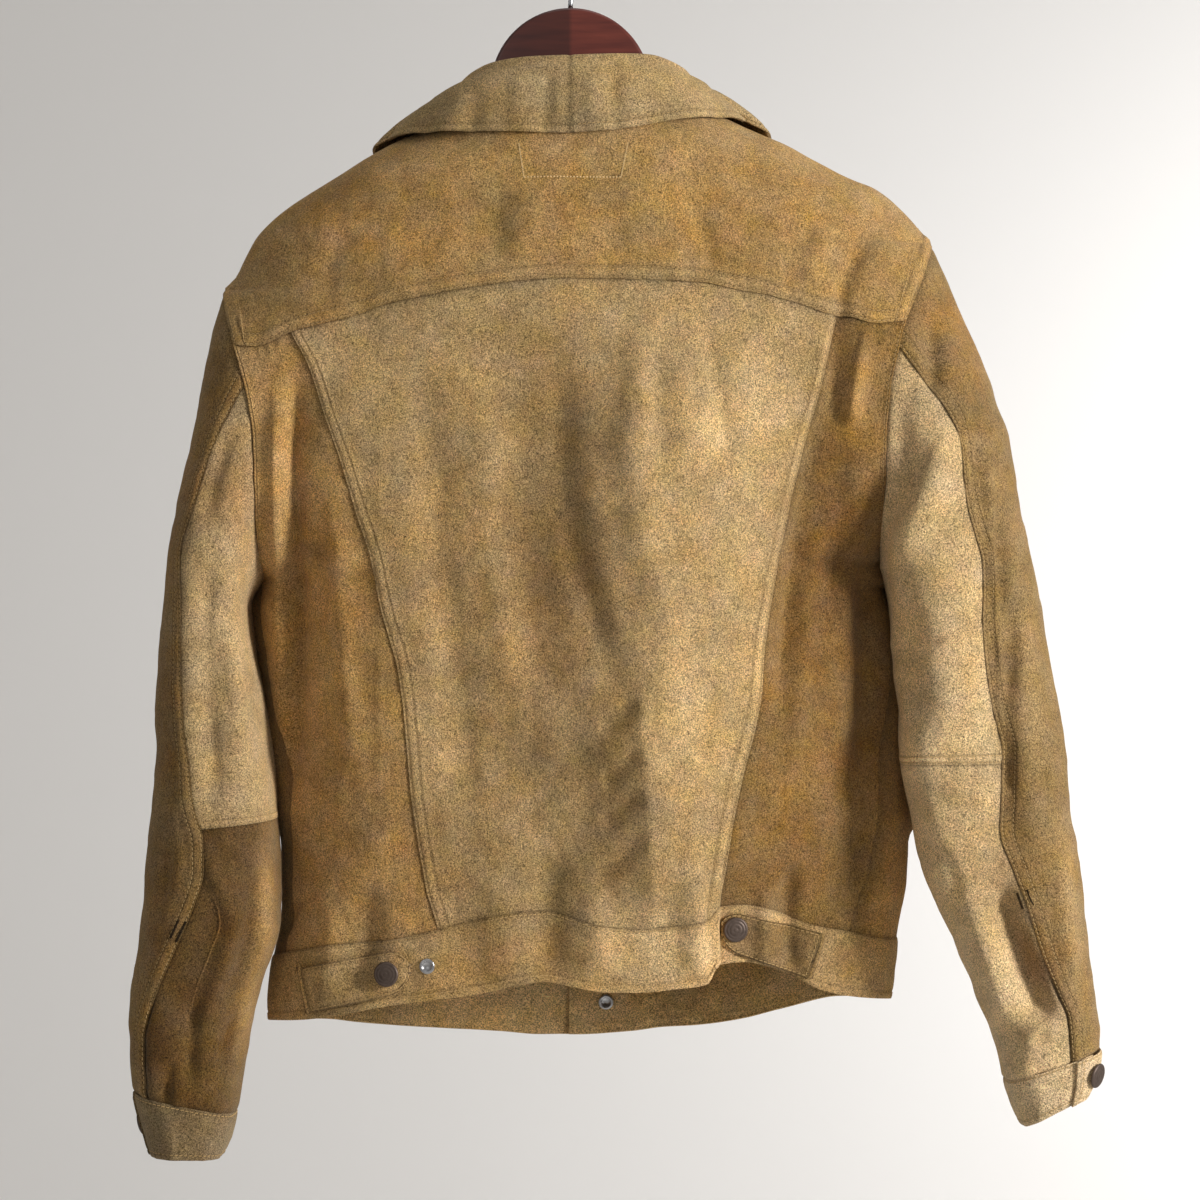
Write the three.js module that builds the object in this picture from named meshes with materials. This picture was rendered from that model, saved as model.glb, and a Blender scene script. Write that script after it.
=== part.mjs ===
// Short suede jacket, back view towards -Y, hanging on a wooden hanger by a wire hook.
// Millimetres, +Z up, origin on the inner crest of the hook. Every cloth piece is a thin wall.
import * as THREE from 'three';

// ---------- driving dimensions (mm) ----------
const CLOTH = 1.6;          // suede wall of the body and sleeves
const COLLAR_CLOTH = 2.0;   // doubled suede of the collar
const SEAM_GAP = 0.3;       // between neighbouring pieces at a seam
const ARM_GAP = 1.4;        // sleeve head to armhole
const GRID = 0.7;           // one grid unit of the outline tables
const GRID_MID = 600;       // grid point on the axis of the view
const MID_X = 20.65, MID_Z = -481.98, EYE = 3000;  // where that point lies, and the eye's distance
const BODY_X = 4.6;         // x of the body's middle plane
const BODY_POWER = 2.4;     // boxiness of a body ring
const ARM_HALF = 62;        // half opening of an armhole, front to back
const TAB_LIFT = 0.35, TAB_CLOTH = 2.4;
const CAP_R = 8.6, CAP_H = 3.2;      // snap cap
const RING_R = 5.2, RING_H = 1.6;    // stud ring
const HOOK_R = 20, WIRE_R = 1.75;    // wire hook
const DOME_R = 56, DOME_Z = -124, HANGER_T = 13;
const RAD = Math.PI / 180;

// grid tables count right (u) and down (v); a point at depth y is spread about the view axis
const gx = (u, y = 0) => MID_X + (u - GRID_MID) * GRID * (1 + y / EYE);
const gd = (v, y = 0) => -MID_Z + (v - GRID_MID) * GRID * (1 + y / EYE);   // drop below the crest
const toU = (x, y) => GRID_MID + (x - MID_X) / (GRID * (1 + y / EYE));
const toV = (d, y) => GRID_MID + (d + MID_Z) / (GRID * (1 + y / EYE));

// monotone cubic through a table; held flat outside it
function curve(xs, ys) {
  const n = xs.length, h = [], s = [], m = new Array(n).fill(0);
  for (let i = 0; i < n - 1; i++) { h.push(xs[i + 1] - xs[i]); s.push((ys[i + 1] - ys[i]) / h[i]); }
  for (let i = 1; i < n - 1; i++) {
    if (s[i - 1] * s[i] > 0) {
      const a = 2 * h[i] + h[i - 1], b = h[i] + 2 * h[i - 1];
      m[i] = (a + b) / (a / s[i - 1] + b / s[i]);
    }
  }
  if (n > 1) { m[0] = s[0]; m[n - 1] = s[n - 2]; }
  return x => {
    if (x <= xs[0]) return ys[0];
    if (x >= xs[n - 1]) return ys[n - 1];
    let i = 0; while (x > xs[i + 1]) i++;
    const t = (x - xs[i]) / h[i], t2 = t * t, t3 = t2 * t;
    return ys[i] * (2 * t3 - 3 * t2 + 1) + m[i] * h[i] * (t3 - 2 * t2 + t)
      + ys[i + 1] * (3 * t2 - 2 * t3) + m[i + 1] * h[i] * (t3 - t2);
  };
}
const col = (rows, k) => rows.map(r => r[k]);

// ---------- body outline: [v, u] down each side (shoulder ridge, armhole edge, side) ----------
const OUT_L = [[60, 560], [96, 489], [114, 452], [128, 427], [148, 385], [180, 333], [208, 289], [228, 266], [241, 255],
  [258, 246], [283, 233], [293, 225], [303, 227], [320, 231], [339, 237], [377, 248], [404, 255], [440, 260],
  [491, 261.5], [532, 262], [560, 264], [577, 266], [600, 262.5], [640, 261.5], [668, 263], [700, 267], [747, 273], [800, 279],
  [850, 281.5], [900, 282], [955, 274], [1000, 269], [1060, 268]];
const OUT_R = [[60, 600], [90, 662], [105, 695], [138, 767], [147, 788], [160, 812], [179, 850], [190, 876], [208, 899],
  [230, 919], [246, 930.5], [258, 927], [270, 923], [300, 911], [333, 898], [358, 892], [391, 885], [433, 881],
  [482, 880], [524, 877.5], [545, 877], [562, 879], [580, 885], [606, 892], [640, 898], [668, 900.5], [697, 902.5], [744, 900.5],
  [769, 901.5], [800, 905.5], [828, 908.5], [878, 907], [913, 901], [938, 897], [966, 894], [992, 890], [1060, 884]];
const ARM_L = { top: gd(293), low: gd(577) }, ARM_R = { top: gd(246), low: gd(562) };
// depth of the rings behind and in front of the middle plane: [v, back, front]
const DEPTH = [[60, 36, 30], [98, 45, 40], [112, 48, 44], [140, 55, 52], [180, 62, 60], [220, 68, 66], [280, 75, 72],
  [350, 79, 75], [450, 80, 76], [600, 79, 75], [700, 77, 73], [800, 74, 71], [900, 69, 68], [960, 66, 65], [1060, 64, 64]];
// side seam as an angle round the ring from centre back: [v, degrees]
const SIDE_L = [[577, 90], [600, 86], [650, 80], [700, 77], [800, 74], [900, 73], [1060, 73]];
const SIDE_R = [[562, 90], [590, 86], [640, 80], [700, 74], [760, 69], [823, 64], [881, 60], [930, 57.5], [1060, 56]];
const edgeL = curve(col(OUT_L, 0).map(v => gd(v)), col(OUT_L, 1).map(u => gx(u)));
const edgeR = curve(col(OUT_R, 0).map(v => gd(v)), col(OUT_R, 1).map(u => gx(u)));
const edge = (s, d) => (s < 0 ? edgeL(d) : edgeR(d));
const arm = s => (s < 0 ? ARM_L : ARM_R);
const armY = (s, d) => {
  const a = arm(s), t = (d - (a.top + a.low) / 2) / ((a.low - a.top) / 2);
  return Math.abs(t) < 1 ? ARM_HALF * Math.sqrt(1 - t * t) : 0;
};
const backDepth = curve(col(DEPTH, 0).map(v => gd(v)), col(DEPTH, 1));
const frontDepth = curve(col(DEPTH, 0).map(v => gd(v)), col(DEPTH, 2));
const sideL = curve(col(SIDE_L, 0).map(v => gd(v)), col(SIDE_L, 1));
const sideR = curve(col(SIDE_R, 0).map(v => gd(v)), col(SIDE_R, 1));
const sideSeam = (s, d) => (s < 0 ? sideL(d) : sideR(d)) * RAD;

// the body's form: angle th from centre back (negative on the left, past +-180 across the front), drop d
const RECESS = { u0: 705, u1: 714, v0: 830, v1: 930, depth: 10 };   // right of the hem fold the cloth lies deeper
const step = (a, b, x) => { const t = Math.min(1, Math.max(0, (x - a) / (b - a))); return t * t * (3 - 2 * t); };
function body(th, d) {
  let a = th; while (a > Math.PI) a -= 2 * Math.PI; while (a < -Math.PI) a += 2 * Math.PI;
  const s = a < 0 ? -1 : 1, p = Math.abs(a), isBack = p < Math.PI / 2;
  const e = edge(s, d), h = armY(s, d), dep = isBack ? backDepth(d) : frontDepth(d);
  const t = Math.sin(p), m = 2 - 0.9 * h / ARM_HALF;
  let y = h + (dep - h) * Math.pow(Math.max(0, 1 - Math.pow(t, BODY_POWER)), 1 / m);
  const x = BODY_X + (e - BODY_X) * t;
  if (isBack && s > 0) {
    y -= RECESS.depth * step(gx(RECESS.u0, -64), gx(RECESS.u1, -64), x) * step(gd(RECESS.v0), gd(RECESS.v1), d)
      * (1 - step(gx(770), gx(880), x));
  }
  return new THREE.Vector3(x, isBack ? -y : y, -d);
}
function normalOf(f, a, b, da, db) {
  const p = f(a + da, b).sub(f(a - da, b)), q = f(a, b + db).sub(f(a, b - db));
  return p.cross(q).normalize();
}
const out = (n, p, c) => (n.dot(p.clone().sub(c)) < 0 ? n.negate() : n);
// outward direction on the body; at an armhole edge it is taken just inside the edge
function bodyN(th, d) {
  const s = th < 0 ? -1 : 1, q = Math.abs(th);
  let a = th;
  if (Math.abs(q - Math.PI / 2) < 0.02 && armY(s, d) > 0) a = s * (q <= Math.PI / 2 ? Math.PI / 2 - 0.04 : Math.PI / 2 + 0.04);
  const p = body(a, d);
  return out(normalOf(body, a, d, 0.012, 0.6), p, new THREE.Vector3(BODY_X + (p.x - BODY_X) * 0.6, 0, p.z - 25));
}
const angleAt = (x, d, front) => {
  const s = x < BODY_X ? -1 : 1, t = Math.min(1, Math.abs((x - BODY_X) / (edge(s, d) - BODY_X)));
  return s * (front ? Math.PI - Math.asin(t) : Math.asin(t));
};
// grid point on the back of the body
function onBack(u, v, front = false) {
  let x = gx(u), d = gd(v), y = 0;
  for (let i = 0; i < 5; i++) { y = body(angleAt(x, d, front), d).y; x = gx(u, y); d = gd(v, y); }
  return [x, d];
}

// ---------- seams of the back ----------
// yoke seam [u, v]
const YOKE = [[236, 352], [255, 346], [293, 331], [346, 318], [391, 303], [440, 293], [490, 284], [526, 280], [564, 278],
  [606, 278.5], [656, 280], [700, 282], [733, 289], [766, 295], [800, 304], [826, 313], [849, 316], [874, 323], [900, 330]];
const BACK_L = [[291, 333], [307, 363], [322, 410], [339, 459], [355, 511], [370, 560], [380, 606], [397, 670], [405, 730],
  [410, 790], [421, 860], [427, 893], [437, 926], [440, 945]];
const BACK_R = [[838, 318], [820, 390], [800, 470], [780, 560], [766, 640], [761, 691], [754, 728], [744, 765], [738, 790],
  [733, 813], [728, 844], [725, 870], [721, 905], [720, 925]];
const yokeSeam = (() => { const p = YOKE.map(r => onBack(...r)); return curve(col(p, 0), col(p, 1)); })();
const backSeamL = (() => { const p = BACK_L.map(r => onBack(...r)); return curve(col(p, 1), col(p, 0)); })();
const backSeamR = (() => { const p = BACK_R.map(r => onBack(...r)); return curve(col(p, 1), col(p, 0)); })();
// hem band: back rows [u, top v, bottom v], front rows [u, bottom v]
const BAND_BACK = [[274, 955, 1020], [300, 950, 1020], [330, 945, 1017], [389, 940, 1006], [436, 930, 1000], [480, 919, 994],
  [521, 912, 985], [545, 912, 982], [573, 918, 987], [604, 926, 992.5], [637, 929, 993], [679, 925, 989], [712, 918, 983],
  [722, 906, 962], [746, 906, 964], [780, 913, 971], [804, 923, 981], [824, 928, 991], [846, 931, 996], [871, 936, 998],
  [890, 939, 998]];
const BAND_FRONT = [[890, 998], [838, 996], [780, 1009], [740, 1019], [696, 1025], [662, 1027], [629, 1031], [577, 1034],
  [538, 1034], [500, 1031], [406, 1026], [356, 1022], [330, 1019], [280, 1021]];
const BAND_H = 45;
const bandTop = [], bandLow = [];
for (const [u, vt, vb] of BAND_BACK) {
  const [x, d] = onBack(u, vt), [xb, db] = onBack(u, vb);
  bandTop.push([angleAt(x, d) / RAD, d]); bandLow.push([angleAt(xb, db) / RAD, db]);
}
for (const [u, vb] of BAND_FRONT.slice(1, -1)) {
  const [x, d] = onBack(u, vb, true); let a = angleAt(x, d, true) / RAD; if (a < 0) a += 360;
  bandTop.push([a, d - BAND_H]); bandLow.push([a, d]);
}
const ring = rows => {
  const r = rows.map(q => q.slice()).sort((p, q) => p[0] - q[0]);
  const all = [...r.map(q => [q[0] - 360, q[1]]), ...r, ...r.map(q => [q[0] + 360, q[1]])];
  return curve(col(all, 0), col(all, 1));
};
const bandTopAt = ring(bandTop), bandLowAt = ring(bandLow);
const bandT = th => bandTopAt(th / RAD), bandB = th => bandLowAt(th / RAD);
// neckline [x from the middle, v]: back row and front row
const NECK_X = [gx(452), gx(695)], NECK_V = [114, 105];
const neckBack = curve([NECK_X[0], BODY_X, NECK_X[1]], [gd(NECK_V[0]), gd(112), gd(NECK_V[1])]);
const neckFront = curve([NECK_X[0], -60, -35, BODY_X, 45, 70, NECK_X[1]],
  [gd(NECK_V[0]), gd(158), gd(198), gd(215), gd(198), gd(152), gd(NECK_V[1])]);
const ridge = (s, x) => {       // drop of the shoulder ridge at x
  let a = s < 0 ? gd(NECK_V[0]) - 8 : gd(NECK_V[1]) - 8, b = arm(s).top;
  for (let i = 0; i < 40; i++) { const m = (a + b) / 2; if ((edge(s, m) - x) * s < 0) a = m; else b = m; }
  return (a + b) / 2;
};

// ---------- sleeves: rings through an outer and an inner guide ----------
// [outer u, v, inner u, v, middle y, half depth]
const SLEEVE_L = [[225, 293, 266, 577, 0, 62], [213, 338, 263, 582, -1, 64], [203, 385, 259, 588, -2, 67],
  [193, 441, 254, 596, -3, 69], [183, 492, 251, 606, -4, 70], [172, 555, 252, 622, -6, 69], [165, 622, 254, 645, -9, 67],
  [160, 689, 263, 692, -13, 64], [157, 747, 270, 747, -19, 60], [155, 805, 276, 800, -26, 56], [151, 832, 277, 818, -30, 55],
  [146, 885, 279, 880, -36, 52], [140, 929, 279, 925, -38, 50], [135, 979, 264, 975, -38, 48], [132, 1020, 253, 1018, -38, 46],
  [132, 1052, 246, 1058, -38, 44], [137, 1090, 237, 1110, -38, 41], [146, 1127, 231, 1136, -38, 38], [153, 1153, 223, 1155, -38, 37]];
const SLEEVE_R = [[930.5, 246, 879, 562, 0, 62], [951, 290, 882, 567, -1, 64], [970, 337, 885, 573, -2, 67],
  [990, 390, 887, 580, -4, 68], [1006, 440, 890, 590, -6, 67], [1020, 512, 895, 606, -10, 64], [1033, 575, 900, 634, -14, 61],
  [1044, 630, 903, 668, -18, 58], [1053, 683, 907, 705, -24, 56], [1060, 725, 903, 742, -29, 54], [1065, 760, 904, 763, -32, 53],
  [1072, 830, 919, 842, -36, 50], [1080, 900, 938, 900, -38, 48], [1088, 955, 960, 950, -38, 46], [1095, 1000, 983, 1008, -38, 44],
  [1099, 1030, 998, 1052, -38, 42], [1098, 1046, 1004, 1078, -38, 40], [1094, 1068, 1011, 1100, -38, 37], [1084, 1090, 1021, 1124, -38, 35]];
const CUFF_K = 16, END_K = 18, ELBOW_K = 10;
const SQUARE = .11;                       // how far the sleeve's round section swells at its corners
function guides(rows) {
  const ks = rows.map((_, i) => i);
  const f = [0, 1, 2, 3, 4, 5].map(k => curve(ks, col(rows, k)));
  return k => {
    const y = f[4](k);
    return { o: [gx(f[0](k), y), gd(f[1](k), y)], i: [gx(f[2](k), y), gd(f[3](k), y)], y, w: f[5](k) };
  };
}
const guideL = guides(SLEEVE_L), guideR = guides(SLEEVE_R);
const armEdge = (s, ps) => {
  const a = arm(s), d = (a.top + a.low) / 2 - (a.low - a.top) / 2 * Math.cos(ps);
  return new THREE.Vector3(edge(s, d), -ARM_HALF * Math.sin(ps), -d);
};
function oval(g, ps) {
  const q = 1 + SQUARE * (1 - Math.cos(4 * ps)) / 2, c = Math.cos(ps) * q, s = Math.sin(ps) * q;
  return new THREE.Vector3((g.o[0] + g.i[0]) / 2 + (g.o[0] - g.i[0]) / 2 * c, g.y - g.w * s,
    -((g.o[1] + g.i[1]) / 2 + (g.o[1] - g.i[1]) / 2 * c));
}
function sleeve(s, k, ps) {
  const G = s < 0 ? guideL : guideR, p = oval(G(k), ps);
  const fade = Math.max(0, 1 - k / 4);
  if (fade > 0) p.add(armEdge(s, ps).sub(oval(G(0), ps)).multiplyScalar(fade));
  return p;
}
function sleeveN(s, k, ps) {
  const f = (a, b) => sleeve(s, a, b), kk = Math.min(END_K - 0.06, Math.max(0.06, k)), p = f(kk, ps);
  const g = (s < 0 ? guideL : guideR)(kk);
  return out(normalOf(f, kk, ps, 0.05, 0.01), p, new THREE.Vector3((g.o[0] + g.i[0]) / 2, g.y, -(g.o[1] + g.i[1]) / 2));
}
const armN = (s, ps) => {
  const p = armEdge(s, ps), q = (ps % (2 * Math.PI) + 2 * Math.PI) % (2 * Math.PI);
  const th = s * (q <= Math.PI ? Math.PI / 2 - 0.01 : Math.PI / 2 + 0.01);
  return bodyN(th, -p.z).add(sleeveN(s, 0, ps)).normalize();
};
const armAngle = (s, d, front) => {
  const a = arm(s), c = Math.max(-1, Math.min(1, ((a.top + a.low) / 2 - d) / ((a.low - a.top) / 2))), p = Math.acos(c);
  return front ? -p : p;
};
// sleeve back seam [v, u]
const ARMSEAM_L = [[377, 248], [413, 229], [443, 214], [467, 205], [499, 196], [532, 186], [560, 181.5], [598, 181], [656, 181],
  [689, 182], [739, 185], [772, 190], [800, 193], [821, 198], [838, 203], [871, 204], [904, 195], [924, 187], [944, 178],
  [992, 158], [1024, 147], [1040, 144], [1120, 148]];
const ARMSEAM_R = [[342, 896], [376, 921], [410, 946], [434, 958], [457, 962], [482, 964.5], [507, 968], [540, 977], [560, 983],
  [593, 984], [615, 983], [648, 985], [697, 991], [727, 998], [749, 1003], [790, 1002], [830, 1000], [870, 1013], [904, 1026],
  [954, 1042], [996, 1059], [1020, 1069], [1100, 1073]];
const seamUL = curve(col(ARMSEAM_L, 0), col(ARMSEAM_L, 1)), seamUR = curve(col(ARMSEAM_R, 0), col(ARMSEAM_R, 1));
const FRONT_SEAM = -70 * RAD;
function backSeam(s, k) {      // angle round ring k where the back seam crosses
  let a = 0.06, b = 2.0;
  const g = ps => { const p = sleeve(s, k, ps); return (toU(p.x, p.y) - (s < 0 ? seamUL : seamUR)(toV(-p.z, p.y))) * s; };
  for (let i = 0; i < 36; i++) { const m = (a + b) / 2; if (g(m) > 0) a = m; else b = m; }
  return (a + b) / 2;
}

// ---------- thin wall over a grid of points ----------
const SUEDE = {
  yoke: 0xa07a46, back: 0xa98650, side: 0xa8783c, front: 0xa57c46, band: 0x9c7444, tab: 0xa5804b, collar: 0xa68654,
  sleeve: 0xa68050, under: 0xb08e5c, low: 0x8e6634, cuff: 0x957650,
};
const group = new THREE.Group();
group.name = 'suede_jacket_on_hanger';
function add(name, geo, color, rough = 0.95, metal = 0) {
  const m = new THREE.Mesh(geo, new THREE.MeshStandardMaterial({ color, roughness: rough, metalness: metal, name: name + '_finish' }));
  m.name = name; group.add(m); return m;
}
function volume(pos, idx) {
  let v = 0; const a = new THREE.Vector3(), b = a.clone(), c = a.clone();
  for (let i = 0; i < idx.length; i += 3) { a.fromArray(pos, idx[i] * 3); b.fromArray(pos, idx[i + 1] * 3); c.fromArray(pos, idx[i + 2] * 3); v += a.dot(b.clone().cross(c)); }
  return v;
}
function wall(P, N, thick = CLOTH, gap = SEAM_GAP / 2 + 0.03, first = gap) {
  const R = P.length, C = P[0].length, Q = P.map(r => r.map(p => p.clone()));
  const pull = (p, q, g = gap) => { const v = q.clone().sub(p); return v.multiplyScalar(Math.min(0.4, g / v.length())); };
  for (let i = 0; i < R; i++) { Q[i][0].add(pull(P[i][0], P[i][1])); Q[i][C - 1].add(pull(P[i][C - 1], P[i][C - 2])); }
  for (let j = 0; j < C; j++) { Q[0][j].add(pull(P[0][j], P[1][j], first)); Q[R - 1][j].add(pull(P[R - 1][j], P[R - 2][j])); }
  const pos = [], idx = [];
  for (const side of [0, 1]) for (let i = 0; i < R; i++) for (let j = 0; j < C; j++) {
    const p = Q[i][j].clone().addScaledVector(N[i][j], -side * thick); pos.push(p.x, p.y, p.z);
  }
  const at = (s, i, j) => s * R * C + i * C + j;
  const quad = (a, b, c, d) => idx.push(a, b, c, a, c, d);
  for (let i = 0; i < R - 1; i++) for (let j = 0; j < C - 1; j++) {
    quad(at(0, i, j), at(0, i, j + 1), at(0, i + 1, j + 1), at(0, i + 1, j));
    quad(at(1, i, j), at(1, i + 1, j), at(1, i + 1, j + 1), at(1, i, j + 1));
  }
  for (let i = 0; i < R - 1; i++) {
    quad(at(0, i, 0), at(0, i + 1, 0), at(1, i + 1, 0), at(1, i, 0));
    quad(at(0, i, C - 1), at(1, i, C - 1), at(1, i + 1, C - 1), at(0, i + 1, C - 1));
  }
  for (let j = 0; j < C - 1; j++) {
    quad(at(0, 0, j), at(1, 0, j), at(1, 0, j + 1), at(0, 0, j + 1));
    quad(at(0, R - 1, j), at(0, R - 1, j + 1), at(1, R - 1, j + 1), at(1, R - 1, j));
  }
  if (volume(pos, idx) < 0) for (let i = 0; i < idx.length; i += 3) [idx[i + 1], idx[i + 2]] = [idx[i + 2], idx[i + 1]];
  const g = new THREE.BufferGeometry();
  g.setAttribute('position', new THREE.Float32BufferAttribute(pos, 3)); g.setIndex(idx); g.computeVertexNormals();
  return g;
}
const lerp = (a, b, t) => a + (b - a) * t;
const steps = n => Array.from({ length: n + 1 }, (_, i) => i / n);
// rows of a straight run in (x, drop), spaced evenly along the cloth
function run(x0, d0, x1, d1, front, n) {
  const S = 48, pts = [];
  for (let k = 0; k <= S; k++) {
    const t = 1 - (1 - k / S) ** 2, x = lerp(x0, x1, t), d = lerp(d0, d1, t), th = angleAt(x, d, front);
    pts.push([th, d, body(th, d)]);
  }
  const L = [0]; for (let k = 1; k <= S; k++) L.push(L[k - 1] + pts[k][2].distanceTo(pts[k - 1][2]));
  return steps(n).map(f => {
    const want = f * L[S]; let k = 0; while (k < S - 1 && L[k + 1] < want) k++;
    const t = (want - L[k]) / (L[k + 1] - L[k] || 1);
    return [lerp(pts[k][0], pts[k + 1][0], t), lerp(pts[k][1], pts[k + 1][1], t)];
  });
}
const bodyWall = (A, thick, lift = 0) => {   // A[i][j] = [angle, drop, armhole angle or null]
  const N = A.map(r => r.map(q => (q[2] == null ? bodyN(q[0], q[1]) : armN(q[3], q[2]))));
  const P = A.map((r, i) => r.map((q, j) => body(q[0], q[1]).addScaledVector(N[i][j], lift)));
  return wall(P, N, thick);
};
const inArm = (s, d) => d > arm(s).top - 0.01 && d < arm(s).low + 0.01;
const nearEdge = th => Math.abs(Math.abs(th) - Math.PI / 2) < 2e-3;
const tag = (s, th, d, front) => (nearEdge(th) && inArm(s, d) ? [th, d, armAngle(s, d, front), s] : [th, d, null]);
const BACK_EDGE = Math.PI / 2 - 1e-4, FRONT_EDGE = Math.PI / 2 + 1e-4;

function yokeEnd(s) {            // where the yoke seam meets the armhole
  let d = gd(345); for (let i = 0; i < 12; i++) d = yokeSeam(edge(s, d));
  return { x: edge(s, d), d };
}
// back panels: between two upright seams, from the yoke seam to the band; all share one set of row fractions
const outer = (s, front) => d => (d <= arm(s).low ? s * (front ? FRONT_EDGE : BACK_EDGE) : s * sideSeam(s, d));
const hemAt = thAt => { let d = gd(960); for (let i = 0; i < 14; i++) d = bandT(thAt(d)); return d; };
const fracLow = s => { const d0 = yokeEnd(s).d; return (arm(s).low - d0) / (hemAt(outer(s, false)) - d0); };
const ROWS = [0, 0.09, 0.18, 0.26, 0.32, 0.35, ...[fracLow(-1), fracLow(1)].sort(), 0.42, 0.5, 0.6, 0.72, 0.86, 1];
function backPanel(left, right, nu) {
  return steps(nu).map(s => {
    const thAt = d => lerp(left(d), right(d), s), d1 = hemAt(thAt);
    let d0 = gd(330); for (let i = 0; i < 14; i++) d0 = yokeSeam(body(thAt(d0), d0).x);
    return ROWS.map(t => { const d = lerp(d0, d1, t); return [thAt(d), d]; });
  });
}
const seamTh = f => d => angleAt(f(d), d);
const SIDE_COLS = 5, MID_COLS = 12;
const tagAll = (A, s) => A.map(l => l.map(([th, d]) => tag(s, th, d, false)));
const sideLGrid = tagAll(backPanel(outer(-1, false), seamTh(backSeamL), SIDE_COLS), -1);
const midGrid = backPanel(seamTh(backSeamL), seamTh(backSeamR), MID_COLS);
const sideRGrid = tagAll(backPanel(seamTh(backSeamR), outer(1, false), SIDE_COLS), 1);
add('back_centre', bodyWall(midGrid), SUEDE.back);
add('back_side_left', bodyWall(sideLGrid), SUEDE.side);
add('back_side_right', bodyWall(sideRGrid), SUEDE.side);

// yoke: one column for each column of the panels below, up to the shoulder ridge or the neckline
const seamX = [...sideLGrid, ...midGrid.slice(1), ...sideRGrid.slice(1)].map(l => body(l[0][0], l[0][1]).x);
const neckCol = NECK_X.map(n => seamX.reduce((b, x, i) => (Math.abs(x - n) < Math.abs(seamX[b] - n) ? i : b), 0));
const shoulderF = s => {         // fractions of the way from the shoulder tip to the neck point
  const xs = s < 0 ? seamX.slice(0, neckCol[0] + 1) : seamX.slice(neckCol[1]).reverse();
  return xs.map(x => (x - xs[0]) / (xs[xs.length - 1] - xs[0]));
};
function yoke() {
  const fl = shoulderF(-1), fr = shoulderF(1);
  return seamX.map((xb, i) => {
    const s = i <= neckCol[0] || xb < BODY_X ? -1 : 1, end = i === 0 || i === seamX.length - 1;
    let x, d;
    if (i <= neckCol[0] || i >= neckCol[1]) {
      const f = s < 0 ? fl[i] : fr[seamX.length - 1 - i];
      x = lerp(edge(s, arm(s).top), NECK_X[s < 0 ? 0 : 1], f); d = f === 0 ? arm(s).top : ridge(s, x);
    } else {
      const a = lerp(-90, 90, (i - neckCol[0]) / (neckCol[1] - neckCol[0])) * RAD;
      x = BODY_X + (NECK_X[a < 0 ? 0 : 1] - BODY_X) * Math.abs(Math.sin(a)); d = neckBack(x);
    }
    const d0 = end ? yokeEnd(s).d : yokeSeam(xb);
    return run(xb, d0, x, d, false, 7).map(([th, dd]) => tag(s, end ? s * BACK_EDGE : th, dd, false));
  });
}
add('back_yoke', bodyWall(yoke()), SUEDE.yoke);

// fronts: side seam and armhole to the front edge, closed left over right
const FRONT_TOP = gd(352);       // below it rows, above it runs to the shoulder and the neckline
const LAP_X = 40, LAP_UNDER = -1.5, UNDER_DROP = 2.3;
function frontColumns(s, xEdge) {
  const th1 = d => { let a = angleAt(xEdge, d, true); if (a * s < 0) a += s * 2 * Math.PI; return a; };
  const th0 = outer(s, true);
  const nk = NECK_X[s < 0 ? 0 : 1], e0 = edge(s, FRONT_TOP);
  const xs = shoulderF(s).map(f => ({ xb: lerp(e0, nk, f), sh: f }));
  const inner = s < 0 ? [-72, -52, -28, BODY_X, LAP_X] : [76, 58, 34, 14, LAP_UNDER];
  for (const x of inner) xs.push({ xb: x, sh: null });
  return { th0, th1, nk, xs };
}
function frontAngle(s, c, th0, th1) {      // angle of column c at drop d
  let thb = angleAt(c.xb, FRONT_TOP, true); if (thb * s < 0) thb += s * 2 * Math.PI;
  const f = c.sh === 0 ? 0 : (thb - th0(FRONT_TOP)) / (th1(FRONT_TOP) - th0(FRONT_TOP));
  return d => lerp(th0(d), th1(d), f);
}
function frontHem(s, xEdge) {
  const { th0, th1, xs } = frontColumns(s, xEdge);
  return xs.map(c => { const at = frontAngle(s, c, th0, th1); return at(hemAt(at)); });
}
function frontPanel(s, xEdge, dip) {
  const { th0, th1, nk, xs } = frontColumns(s, xEdge);
  const A = [];
  for (const c of xs) {
    const thAt = frontAngle(s, c, th0, th1);
    const dl = hemAt(thAt), low = arm(s).low, line = [];
    const side = (s < 0 ? sideLGrid[0] : sideRGrid[SIDE_COLS]).map(q => q[1]).filter(d => d >= low - 0.01), last = side[side.length - 1];
    for (const q of side.slice().reverse()) { const d = lerp(low, dl, (q - low) / (last - low)); line.push([thAt(d), d]); }
    for (const d of [low - 4, low - 14, low - 34, low - 62, low - 92, low - 125]) line.push([thAt(d), d]);
    const tipX = edge(s, arm(s).top);
    const xt = c.sh == null ? c.xb : lerp(tipX, nk, c.sh);
    const dt = c.sh == null ? neckFront(xt) : (c.sh === 0 ? arm(s).top : ridge(s, xt));
    const r = run(c.xb, FRONT_TOP, xt, dt, true, 6).map(([th, d]) => [c.sh === 0 ? s * FRONT_EDGE : (th * s < 0 ? th + s * 2 * Math.PI : th), d]);
    A.push([...line, ...r].map(([th, d]) => tag(s, th, d, true)));
  }
  const N = A.map(r => r.map(q => (q[2] == null ? bodyN(q[0], q[1]) : armN(q[3], q[2]))));
  const P = A.map((r, i) => r.map((q, j) => {
    const p = body(q[0], q[1]);
    const lift = dip ? -UNDER_DROP * (1 - step(LAP_X + 4, LAP_X + 26, p.x)) * (Math.abs(q[0]) > 2 ? 1 : 0) : 0;
    return p.addScaledVector(N[i][j], lift);
  }));
  return wall(P, N);
}
add('front_left', frontPanel(-1, LAP_X, false), SUEDE.front);
add('front_right', frontPanel(1, LAP_UNDER, true), SUEDE.front);

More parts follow.
